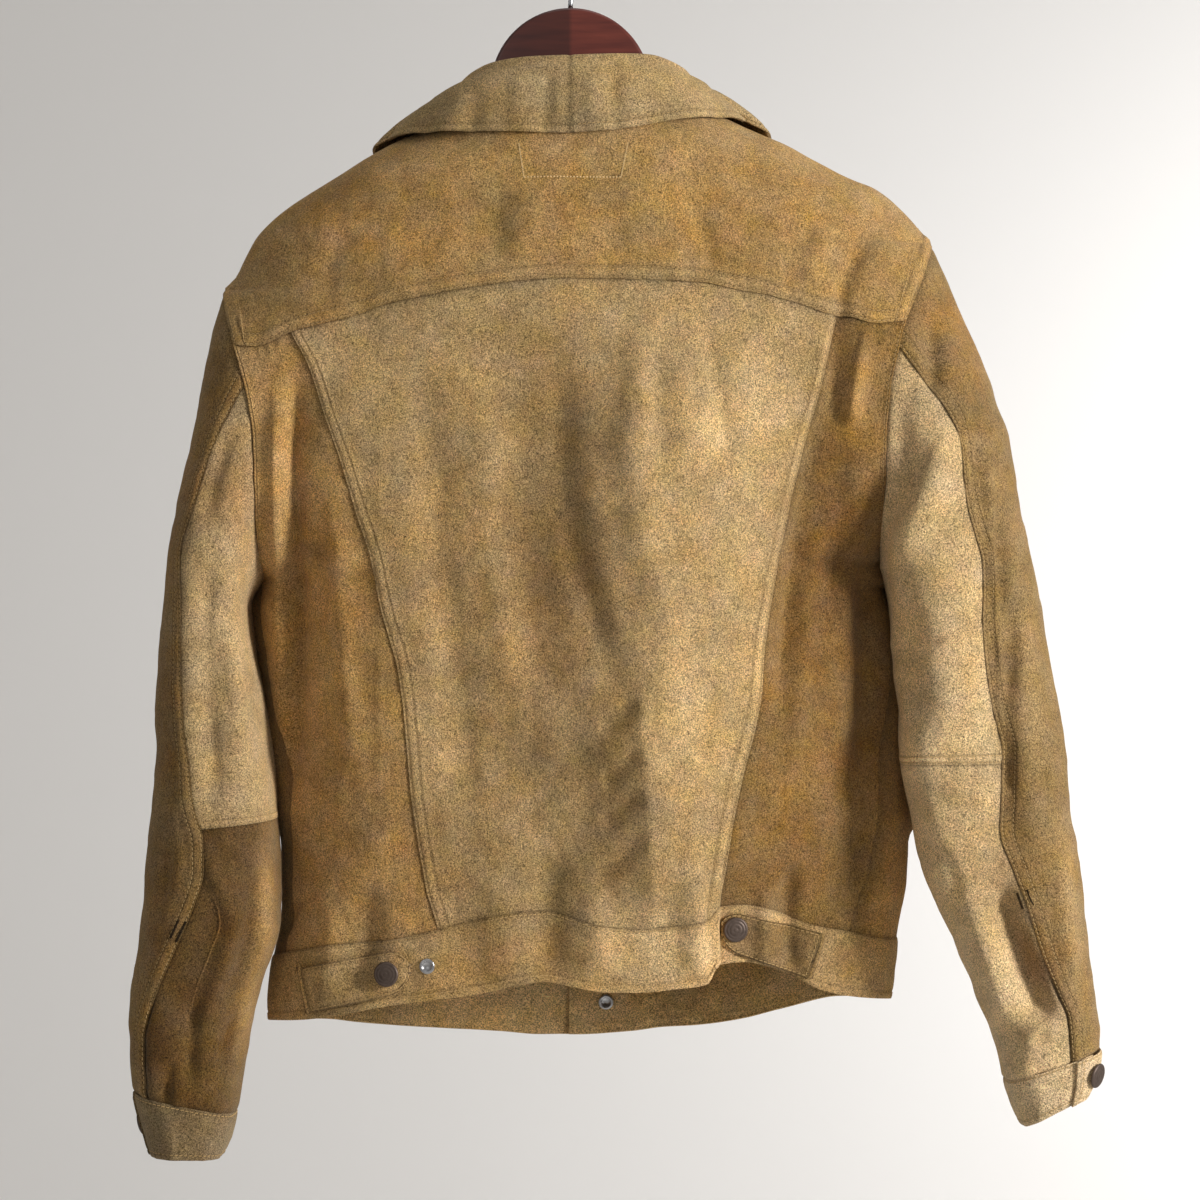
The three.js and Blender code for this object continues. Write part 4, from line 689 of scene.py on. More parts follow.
# ------------------------------------------------------------------ meshes
def tidy(name, verts, faces, mat, node=None, colours=None, sharp=None, smooth=True):
    me = bpy.data.meshes.new(name)
    v = np.asarray(verts, np.float32) / 1000.0
    me.vertices.add(len(v))
    me.vertices.foreach_set("co", v.ravel())
    f = np.asarray(faces, np.int32)
    n = f.shape[1]
    me.loops.add(f.size)
    me.loops.foreach_set("vertex_index", f.ravel())
    me.polygons.add(len(f))
    me.polygons.foreach_set("loop_start", np.arange(0, f.size, n, dtype=np.int32))
    me.polygons.foreach_set("use_smooth", np.full(len(f), smooth))
    me.update(calc_edges=True)
    me.validate()
    if colours is not None:
        a = me.attributes.new("tint", "FLOAT_COLOR", "POINT")
        rgba = np.ones((len(v), 4), np.float32)
        rgba[:, :3] = colours
        a.data.foreach_set("color", rgba.ravel())
    if sharp is not None:
        e = np.empty(len(me.edges) * 2, np.int32)
        me.edges.foreach_get("vertices", e)
        e = e.reshape(-1, 2)
        mark = sharp[e[:, 0]] & sharp[e[:, 1]]
        s = me.attributes.get("sharp_edge") or me.attributes.new("sharp_edge", "BOOLEAN", "EDGE")
        s.data.foreach_set("value", mark)
    o = bpy.data.objects.new(name, me)
    bpy.context.scene.collection.objects.link(o)
    me.materials.append(mat)
    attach(o, "root")
    if node:
        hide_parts(node)
    return o


# Painted shade across a lapped seam, at distance x from its edge: deepest at the edge and along both stitch grooves,
# with a painted highlight over the ridge between them.
def lap_shade(x):
    return (1 - 0.30 * np.exp(-(x / 0.6) ** 2) - 0.42 * np.exp(-((x - 1.75) / 0.55) ** 2) - 0.48 * np.exp(-((x - 9.1) / 0.7) ** 2)
            + 0.12 * np.exp(-((x - 5) / 2.4) ** 2))


# Painted shade along the edge of a seam sunk into the cloth, at distance x from that edge.
def low_shade(x):
    return 1 - 0.34 * np.exp(-(x / 1.0) ** 2) - 0.10 * np.exp(-(x / 5) ** 2)


def shell(name, node, P, N, thick, base, inner_dark=0.95, shade=None):
    """Closed thin wall: outer grid P, inner grid moved in by the thickness."""
    R, C = P.shape[:2]
    Q = P - N * thick
    verts = np.concatenate([P.reshape(-1, 3), Q.reshape(-1, 3)])
    i, j = np.meshgrid(np.arange(R - 1), np.arange(C - 1), indexing="ij")
    a = (i * C + j).ravel()
    top = np.stack([a, a + 1, a + C + 1, a + C], 1)
    low = top[:, ::-1] + R * C
    k = R * C
    r = np.arange(R - 1) * C
    c = np.arange(C - 1)
    rim = [np.stack([r, r + C, r + C + k, r + k], 1), np.stack([r + C - 1, r + C - 1 + k, r + 2 * C - 1 + k, r + 2 * C - 1], 1),
           np.stack([c, c + k, c + 1 + k, c + 1], 1),
           np.stack([c + (R - 1) * C, c + 1 + (R - 1) * C, c + 1 + (R - 1) * C + k, c + (R - 1) * C + k], 1)]
    faces = np.concatenate([top, low] + rim)
    x = np.cross(P[1:, :-1] - P[:-1, :-1], P[:-1, 1:] - P[:-1, :-1])
    if np.sum(x * N[:-1, :-1]) > 0:
        faces = faces[:, ::-1]
    colour = tint(P.reshape(-1, 3), base)
    # shade multiplies painted shade and painted highlights into the outer face's colour.
    if shade is not None:
        colour = np.clip(colour * shade.reshape(-1, 1), 0, 1)
    # The inner face's colour is scaled by inner_dark: a little darker by default, and 1.3 times lighter on the front
    # bands, painted light on their inside.
    colours = np.concatenate([colour, tint(Q.reshape(-1, 3), base) * inner_dark])
    edge_v = np.zeros((R, C), bool)
    edge_v[0] = edge_v[-1] = edge_v[:, 0] = edge_v[:, -1] = True
    return tidy(name, verts, faces, SUEDE, node, colours, np.concatenate([edge_v.ravel(), edge_v.ravel()]))


OFF = np.array([0, 0.7, 1.2, 1.75, 2.3, 3.2, 5.0, 7.0, 8.3, 9.1, 9.9, 11.2, 13.0, 16.0])
OFFN = np.array([0, 0.7, 1.8, 3.6, 6.0, 9.0])
STITCH_AT = (1.75, 9.1)


def felled(x, s=None):
    """Height over a lapped, twice-stitched seam at distance x from its edge."""
    y = 0.75 * (1 - step(9.6, 13.0, x)) - 0.6 * np.exp(-((x - 1.75) / 0.75) ** 2) - 0.6 * np.exp(-((x - 9.1) / 0.75) ** 2) - 0.35 * np.exp(-(x / 0.6) ** 2)
    if s is not None:
        y = y + (0.32 * noise2(s, x * 0.2, 5.5, 3) + 0.25 * noise2(s, x * 0.1, 12, 4)) * np.exp(-((x - 6) / 9) ** 2)
    return y


def sunk(x, s=None):
    y = -0.25 * np.exp(-(x / 2.4) ** 2)
    if s is not None:
        y = y + (0.3 * noise2(s, x * 0.2, 7, 8) + 0.3 * noise2(s, x * 0.1, 15, 9)) * np.exp(-((x - 4) / 8) ** 2)
    return y


def fractions(width, off_a, off_b, n):
    """Shares of each row's width (R,) that put columns at the given distances from both edges."""
    W = np.asarray(width, float)[:, None]
    oa, ob = off_a[None, :] / W, 1 - off_b[::-1][None, :] / W
    f = np.linspace(0, 1, n + 2)[1:-1][None, :]
    mid = oa[:, -1:] + (ob[:, :1] - oa[:, -1:]) * f
    return np.concatenate([oa, mid, ob], 1)


STITCHES = []      # (centre line points, outward directions)


def panel(left, right, height, n_rows, n_cols, off_l, off_r, off_t, off_b):
    """Grid of (angle, drop) between two upright seams, the yoke seam and the band, with distances to its edges."""
    T = fractions(np.array([height]), off_t, off_b, n_rows)[0]
    dm = gd(315) + (gd(930) - gd(315)) * T
    q = np.linspace(0, 1, 13)[None, :]
    tl, tr = left(dm)[:, None], right(dm)[:, None]
    pts = body(tl + (tr - tl) * q, np.repeat(dm[:, None], 13, 1))
    W = np.linalg.norm(np.diff(pts, axis=1), axis=-1).sum(1)
    S = fractions(W, off_l, off_r, n_cols)

    def th_at(d):
        return left(d) + (right(d) - left(d)) * S
    d0, d1 = np.full(S.shape, gd(330.0)), np.full(S.shape, gd(940.0))
    for _ in range(14):
        d0 = yoke_seam(body(th_at(d0), d0)[..., 0])
        d1 = band_top(th_at(d1))
    D = d0 + (d1 - d0) * T[:, None]
    TH = th_at(D)
    dist = dict(l=S * W[:, None], r=(1 - S) * W[:, None], t=T[:, None] * (d1 - d0), b=(1 - T[:, None]) * (d1 - d0))
    return TH, D, dist


def seam_th(f):
    return lambda d: angle_at(f(d), d)


BACK_EDGE, FRONT_EDGE = math.pi / 2 - 1e-4, math.pi / 2 + 1e-4


def outer(s, front):
    e = FRONT_EDGE if front else BACK_EDGE
    sf = side_l if s < 0 else side_r
    return lambda d: np.where(d <= ARM[s][1], s * e, s * sf(d))


def hem_at(th_at, shape):
    d = np.full(shape, gd(960.0))
    for _ in range(14):
        d = band_top(th_at(d))
    return d


def body_grid(TH, D, relief=0.0):
    P0 = body(TH, D)
    N = body_n(TH, D)
    lift = body_lift(P0, True)
    return P0 + N * (lift + relief)[..., None], N


def true_normals(P, N):
    """Normals of the folded grid, turned the way N points."""
    a, b = np.gradient(P, axis=0), np.gradient(P, axis=1)
    n = unit(np.cross(a, b))
    flip = np.where(np.sum(n * N, -1) < 0, -1, 1)[..., None]
    n = n * flip
    bad = np.sum(n * N, -1) < 0.2
    n[bad] = N[bad]
    return n


def stitch_line(P, N, thin=1):
    STITCHES.append((np.asarray(P)[::thin], np.asarray(N)[::thin]))


def at_off(off, x):
    return int(np.argmin(np.abs(off - x)))


def make_back():
    # centre panel: lapped over both side panels
    TH, D, k = panel(seam_th(back_seam_l), seam_th(back_seam_r), 448, 138, 106, OFF, OFF, OFFN, OFFN)
    h = felled(k["l"], D) * (k["l"] < k["r"]) + felled(k["r"], D + 300) * (k["l"] >= k["r"]) + sunk(k["t"], TH * 200) + sunk(k["b"], TH * 200)
    P, N = body_grid(TH, D, h)
    # Painted shade along the lapped seams and at the sunk top and bottom edges, with a painted highlight over each lap.
    dark = lap_shade(np.minimum(k["l"], k["r"])) * low_shade(k["t"]) * low_shade(k["b"])
    o = shell("back_centre", "back_centre", P, true_normals(P, N), CLOTH, BASE["centre"], shade=dark)
    for off in STITCH_AT:
        stitch_line(P[:, at_off(OFF, off)], N[:, at_off(OFF, off)])
        stitch_line(P[:, -1 - at_off(OFF, off)], N[:, -1 - at_off(OFF, off)])
    # side panels
    for s, name, base, nc in ((-1, "back_side_left", "side_l", 52), (1, "back_side_right", "side_r", 46)):
        if s < 0:
            TH, D, k = panel(outer(-1, False), seam_th(back_seam_l), 440, 150, nc, OFF, OFFN, OFFN, OFFN)
        else:
            TH, D, k = panel(seam_th(back_seam_r), outer(1, False), 440, 150, nc, OFFN, OFF, OFFN, OFFN)
        rim = k["l"] if s < 0 else k["r"]
        arm = step(ARM[s][1] + 4, ARM[s][1] - 14, D)
        h = (sunk(k["r"] if s < 0 else k["l"], D) + sunk(k["t"], TH * 200) * (1 - arm * (rim < 10)) + sunk(k["b"], TH * 200)
             + arm * 1.3 * felled(rim, D) + (1 - arm) * sunk(rim, D))
        P, N = body_grid(TH, D, h)
        seam = k["r"] if s < 0 else k["l"]
        # Painted shade along the back seam, the band and the yoke seam and round the armhole rim, with a painted
        # highlight just inside the rim below the armhole.
        edge_line = lap_shade(rim) * arm + (1 - arm) * (low_shade(rim) + 0.14 * np.exp(-((rim - 2.4) / 1.2) ** 2))
        dark = low_shade(seam) * low_shade(k["b"]) * (low_shade(k["t"]) * (1 - arm * (rim < 10)) + arm * (rim < 10)) * edge_line
        o = shell(name, name, P, true_normals(P, N), CLOTH, BASE[base], shade=dark)
        keep = D[:, 0 if s < 0 else -1] < ARM[s][1] - 14
        for off in STITCH_AT:
            j = at_off(OFF, off) if s < 0 else -1 - at_off(OFF, off)
            stitch_line(P[keep, j], N[keep, j])


def run_cols(x0, d0, x1, d1, front, rows, clamp_s):
    """For each column a straight run in (x, drop) with rows at the given distances from its start."""
    S = 120
    t = 1 - (1 - np.linspace(0, 1, S)) ** 2
    X, Dp = x0[:, None] + (x1 - x0)[:, None] * t, d0[:, None] + (d1 - d0)[:, None] * t
    TH = angle_at(X, Dp, front)
    for i, s in clamp_s:
        TH[i] = s * (FRONT_EDGE if front else BACK_EDGE)
    P = body(TH, Dp)
    L = np.concatenate([np.zeros((len(x0), 1)), np.cumsum(np.linalg.norm(np.diff(P, axis=1), axis=-1), 1)], 1)
    oth, od = [], []
    for i in range(len(x0)):
        total = L[i, -1]
        want = rows(total)
        oth.append(np.interp(want, L[i], TH[i]))
        od.append(np.interp(want, L[i], Dp[i]))
    return np.array(oth), np.array(od), L[:, -1]


def make_yoke():
    ends = {}
    for s in (-1, 1):
        d = gd(345.0)
        for _ in range(14):
            d = float(yoke_seam(edge(s, d)))
        ends[s] = (float(edge(s, d)), d)
    x0, d0, x1, d1, clamp = [], [], [], [], []
    nS, nN = 62, 64

    def shoulder(s):
        f = np.concatenate([OFF / 168.0, np.linspace(0.107, 1, nS)])
        nk = NECK_X[0 if s < 0 else 1]
        tip = float(edge(s, ARM[s][0]))
        xt = tip + (nk - tip) * f
        dt = ridge(s, xt)
        dt[0] = ARM[s][0]
        xb = ends[s][0] + (nk - ends[s][0]) * f
        db = yoke_seam(xb)
        db[0] = ends[s][1]
        return xb, db, xt, dt
    L, R = shoulder(-1), shoulder(1)
    a = np.linspace(-90, 90, nN + 2)[1:-1] * RAD
    xn = BODY_X + (np.where(a < 0, NECK_X[0], NECK_X[1]) - BODY_X) * np.abs(np.sin(a))
    xb = NECK_X[0] + (NECK_X[1] - NECK_X[0]) * np.linspace(0, 1, nN + 2)[1:-1]
    x0 = np.concatenate([L[0], xb, R[0][::-1]])
    d0 = np.concatenate([L[1], yoke_seam(xb), R[1][::-1]])
    x1 = np.concatenate([L[2], xn, R[2][::-1]])
    d1 = np.concatenate([L[3], neck_back(xn), R[3][::-1]])
    n_up = 44

    def rows(total):
        w = fractions(np.array([total]), OFF, np.array([0, 1.2, 3.0]), n_up)[0]
        return w * total
    TH, D, total = run_cols(x0, d0, x1, d1, False, rows, [(0, -1), (len(x0) - 1, 1)])
    TH, D = TH.T, D.T                      # rows first
    P0 = body(TH, D)
    along = np.concatenate([np.zeros((1, P0.shape[1], 3)), np.cumsum(np.diff(P0, axis=0), 0)])
    up = np.linalg.norm(P0 - P0[:1], axis=-1)
    from_l = np.linalg.norm(P0 - P0[:, :1], axis=-1)
    from_r = np.linalg.norm(P0 - P0[:, -1:], axis=-1)
    rim = np.minimum(from_l, from_r)
    h = np.maximum(felled(up, P0[..., 0] * 1.0), 1.3 * felled(rim, D) * (rim < 13.0) + -9 * (rim >= 13.0))
    # outline of the label sewn inside, pressed through to the outside
    U, V = to_u(P0[..., 0], P0[..., 1]), to_v(-P0[..., 2], P0[..., 1])
    P, N = body_grid(TH, D, h)
    # Painted shade along the yoke seam and the armhole laps, with painted highlights over the laps.
    dark = lap_shade(np.where(rim < 13.0, 40.0, up)) * np.where(rim < 13.0, lap_shade(rim), 1.0)
    o = shell("back_yoke", "back_yoke", P, true_normals(P, N), CLOTH, BASE["yoke"], shade=dark)
    for off in STITCH_AT:
        stitch_line(P[at_off(OFF, off)], N[at_off(OFF, off)])
    # armhole rows on the yoke
    for off in STITCH_AT:
        for c in (at_off(OFF, off), -1 - at_off(OFF, off)):
            stitch_line(P[3:-3, c], N[3:-3, c])
    # label outline
    Ug, Vg = U, V
    for a_, b_ in (((519, 144), (524, 177)), ((524, 177), (621, 177)), ((621, 177), (628, 143))):
        t = np.linspace(0, 1, 60)
        uu, vv = a_[0] + (b_[0] - a_[0]) * t, a_[1] + (b_[1] - a_[1]) * t
        x, d = on_back(uu, vv)
        th = angle_at(x, d)
        n = body_n(th, d)
        p = body(th, d)
        LABEL.append((p + n * (body_lift(p, True) - 0.1)[..., None], n))
    return ends


LABEL = []
LAP_X, LAP_UNDER, UNDER_DROP = 40.0, -1.5, 2.3
FRONT_TOP = gd(352.0)


def front_columns(s, x_edge, n_sh, n_in):
    def th1(d):
        a = angle_at(x_edge, d, True)
        return np.where(a * s < 0, a + s * 2 * math.pi, a)
    th0 = outer(s, True)
    nk = NECK_X[0 if s < 0 else 1]
    e0 = float(edge(s, FRONT_TOP))
    f = np.concatenate([[0, 0.01, 0.03], np.linspace(0.06, 1, n_sh)])
    xs = np.concatenate([e0 + (nk - e0) * f, np.linspace(nk, x_edge, n_in + 1)[1:]])
    sh = np.concatenate([f, np.full(n_in, np.nan)])
    return th0, th1, nk, xs, sh


def front_angle(s, xs, sh, th0, th1):
    thb = angle_at(xs, FRONT_TOP, True)
    thb = np.where(thb * s < 0, thb + s * 2 * math.pi, thb)
    f = (thb - th0(FRONT_TOP)) / (th1(FRONT_TOP) - th0(FRONT_TOP))
    f = np.where(sh == 0, 0.0, f)
    return lambda d: th0(d) + (th1(d) - th0(d)) * f


def lapped(P0, N, TH, dip):
    if not dip:
        return np.zeros(P0.shape[:-1])
    return -UNDER_DROP * (1 - step(LAP_X + 4, LAP_X + 26, P0[..., 0])) * (np.abs(TH) > 2)


def make_front(s, x_edge, dip, name):
    th0, th1, nk, xs, sh = front_columns(s, x_edge, 26, 30)
    at = front_angle(s, xs, sh, th0, th1)
    low = ARM[s][1]
    dl = hem_at(at, xs.shape)
    TH, D = [], []
    for q in np.linspace(1, 0, 56):
        d = low + (dl - low) * q
        TH.append(at(d))
        D.append(d)
    arm_rows = low - np.concatenate([[1, 3, 6, 10, 15, 21], np.linspace(28, low - FRONT_TOP - 5, 18)])
    for d in arm_rows:
        dd = np.full(xs.shape, d)
        TH.append(at(dd))
        D.append(dd)
    tip = float(edge(s, ARM[s][0]))
    xt = np.where(np.isnan(sh), xs, tip + (nk - tip) * np.nan_to_num(sh))
    dt = np.where(np.isnan(sh), neck_front(xs), ridge(s, np.where(np.isnan(sh), nk, xt)))
    dt[0] = ARM[s][0]
    th, d, _ = run_cols(xs, np.full(xs.shape, FRONT_TOP), xt, dt, True, lambda t: np.linspace(0, 1, 30) * t, [(0, s)])
    th = np.where(th * s < 0, th + s * 2 * math.pi, th)
    TH = np.concatenate([np.array(TH), th.T])
    D = np.concatenate([np.array(D), d.T])
    P0, N = body(TH, D), body_n(TH, D)
    lift = body_lift(P0, False) * (1 - 0.6 * step(30, 10, np.abs(P0[..., 0] - 18)) * (P0[..., 1] > 0)) + lapped(P0, N, TH, dip)
    P = P0 + N * lift[..., None]
    x = np.linalg.norm(P0 - P0[:, :1], axis=-1)
    # Painted shade along the panel's sunk side and lower edges and along its lapped front edge.
    dark = low_shade(x) * low_shade(np.linalg.norm(P0 - P0[:1], axis=-1)) * lap_shade(np.linalg.norm(P0 - P0[:, -1:], axis=-1))
    o = shell(name, name, P, true_normals(P, N), CLOTH, BASE["front"], shade=dark)
    e = P[:, -1]
    stitch_line(P[:, -2] * 0.75 + P[:, -3] * 0.25, N[:, -2])
    return dl, at


def band_piece(name, node, ths, dip, base, back):
    T = fractions(np.array([BAND_H]), np.array([0, 0.7, 1.75, 3.2]), np.array([0, 0.8, 2.0, 4.2, 5.6, 7.2]), 9)[0]
    TH = np.repeat(ths[None, :], len(T), 0)
    a, b = band_top(ths)[None, :], band_low(ths)[None, :]
    D = a + (b - a) * T[:, None]
    P0, N = body(TH, D), body_n(TH, D)
    x = T[:, None] * BAND_H + 0 * D
    relief = 1.1 - 1.0 * np.exp(-(x / 0.9) ** 2) - 0.45 * np.exp(-((x - 1.75) / 0.8) ** 2) - 0.5 * np.exp(-((BAND_H - x - 5.6) / 0.9) ** 2) - 0.6 * np.exp(-((BAND_H - x) / 1.0) ** 2)
    relief = relief + 0.45 * noise2(P0[..., 0] + 1.3 * P0[..., 1], D, 11, 41)
    lift = body_lift(P0, back) + relief + lapped(P0, N, TH, dip)
    P = P0 + N * lift[..., None]
    if back:
        pass
    # Painted shade at the band's top seam and along its stitch rows.
    dark = (1 - 0.45 * np.exp(-(x / 0.9) ** 2) - 0.28 * np.exp(-((x - 1.75) / 0.7) ** 2) - 0.2 * np.exp(-((BAND_H - x - 5.6) / 0.9) ** 2))
    o = shell(name, node, P, true_normals(P, N), 2.2, BASE[base], 0.95 if back else 1.3, shade=dark)
    i, j = 2, len(T) - 1 - 3
    stitch_line(P[i], N[i])
    stitch_line(P[j], N[j])


def make_bands():
    join = float(angle_at(gx(586, -66), gd(955)))

    def side(s):
        th0 = outer(s, False)
        d = gd(960.0)
        for _ in range(14):
            d = float(band_top(float(th0(d))))
        return float(th0(d))
    l, r = side(-1), side(1)
    band_piece("waistband_back_left", "waistband_back_left", np.linspace(l, join, 92), False, "band_l", True)
    fold = float(angle_at(gx(720.5, -62), gd(955)))
    ths = np.concatenate([np.linspace(join, fold - 0.03, 46), np.linspace(fold - 0.026, fold + 0.03, 14), np.linspace(fold + 0.036, r, 52)])
    band_piece("waistband_back_right", "waistband_back_right", ths, False, "band_r", True)
    for s, x_edge, dip, name in ((-1, LAP_X, False, "waistband_front_left"), (1, LAP_UNDER, True, "waistband_front_right")):
        th0, th1, nk, xs, sh = front_columns(s, x_edge, 26, 30)
        at = front_angle(s, xs, sh, th0, th1)
        d = hem_at(at, xs.shape)
        ths = at(d)
        q = np.linspace(0, 1, 90)
        ths = np.interp(q, np.linspace(0, 1, len(ths)), ths)
        band_piece(name, name, ths, dip, "band_l", False)


TAB_L = [(303, 968), (311, 1013), (409, 947), (411, 991)]
TAB_R = [(824, 934), (810, 980), (722, 911), (723, 950)]


def make_tab(name, c, lift0, base):
    (a, b, e, g) = [np.array(q, float) for q in c]
    f = np.concatenate([[0, 0.01, 0.03], np.linspace(0.06, 0.80, 34), 0.80 + 0.2 * np.sin(np.linspace(0.06, 1, 18) * math.pi / 2)])
    w = np.concatenate([[0, 0.02, 0.05], np.linspace(0.09, 0.91, 13), [0.95, 0.98, 1.0]])
    half = np.where(f > 0.80, np.sqrt(np.clip(1 - ((f - 0.80) / 0.205) ** 2, 0.02, 1)), 1.0)
    F, Wd = np.meshgrid(f, w, indexing="ij")
    Wc = 0.5 + (Wd - 0.5) * half[:, None]
    A = a + (b - a) * Wc[..., None]
    B = e + (g - e) * Wc[..., None]
    UV = A + (B - A) * F[..., None]
    x, d = on_back(UV[..., 0], UV[..., 1])
    th = angle_at(x, d)
    P0, N = body(th, d), body_n(th, d)
    rim = np.minimum(np.minimum(Wd, 1 - Wd) * 33 * half[:, None], np.minimum(F * 70, (1.0 - F) * 70 + 2))
    relief = -0.9 * np.exp(-(rim / 0.8) ** 2) - 0.45 * np.exp(-((rim - 2.2) / 0.8) ** 2) + 0.3 * noise2(x, d, 9, 44)
    band_relief = 1.3
    P = P0 + N * (body_lift(P0, True) + band_relief + lift0 + 2.4 + relief)[..., None]
    # Painted shade round the tab's rim and along its stitch groove, with a painted highlight just inside them.
    dark = 1 - 0.62 * np.exp(-(rim / 0.9) ** 2) - 0.34 * np.exp(-((rim - 2.2) / 0.7) ** 2) + 0.16 * np.exp(-((rim - 4.6) / 1.6) ** 2)
    o = shell(name, name, P, true_normals(P, N), 2.4, BASE[base], shade=dark)
    stitch_line(P[2:, 2], N[2:, 2])
    stitch_line(P[2:, -3], N[2:, -3])
    stitch_line(P[2, 2:-2], N[2, 2:-2])
    stitch_line(P[-5, 2:-2], N[-5, 2:-2])
    return P, N


def on_body(u, v, lift, front=False):
    x, d = on_back(float(u), float(v), front)
    th = angle_at(x, d, front)
    p, n = body(th, d), body_n(th, d)
    return p + n * (float(body_lift(p, not front)) + lift), n


# collar half rows: neck angle, roll x y z, leaf x, drop, on front
COLLAR_L = [(0, 0, -45, -105.7, -1, 162.4, 0), (-22, -28, -43, -106.6, -45, 161.4, 0), (-44, -50, -36, -109, -88, 161.2, 0),
            (-64, -65, -23, -114, -117, 162.2, 0), (-80, -74, -8, -120, -131, 165, 0), (-97, -78, 9, -125.5, -137, 170, 1),
            (-116, -74, 27, -137, -132, 186, 1), (-140, -56, 44, -157, -117, 216, 1), (-160, -33, 54, -176, -97, 244, 1), (-176, -12, 60, -191, -74, 264, 1)]
COLLAR_R = [(0, 0, -45, -105.7, 1, 162.4, 0), (22, 28, -43, -104.6, 35, 159.5, 0), (44, 52, -36, -104, 82, 152, 0),
            (64, 68, -23, -107, 113, 149.8, 0), (80, 79, -8, -112, 131, 154.5, 0), (97, 83, 9, -118, 140, 162, 1),
            (116, 80, 27, -131, 138, 178, 1), (140, 62, 44, -153, 125, 208, 1), (160, 40, 54, -173, 105, 238, 1), (176, 20, 60, -189, 82, 260, 1)]
ROLL_R, LEAF_CLEAR = 3.4, 3.9
COLLAR_FOLDS = [
    ("valley", 2.8, 6, 6, [(549, 70), (546, 100), (544, 140)]),
    ("valley", 2.4, 6, 6, [(612, 68), (614, 100), (616, 138)]),
    ("ridge", 1.8, 9, 9, [(590, 70), (592, 136)]),
    ("ridge", 1.8, 9, 9, [(520, 74), (516, 138)]),
    ("valley", 2.2, 8, 8, [(440, 100), (428, 122), (424, 142)]),
    ("valley", 2.0, 8, 8, [(706, 84), (716, 102), (722, 124)]),
    ("valley", 1.8, 10, 10, [(478, 84), (474, 110), (470, 140)]),
]


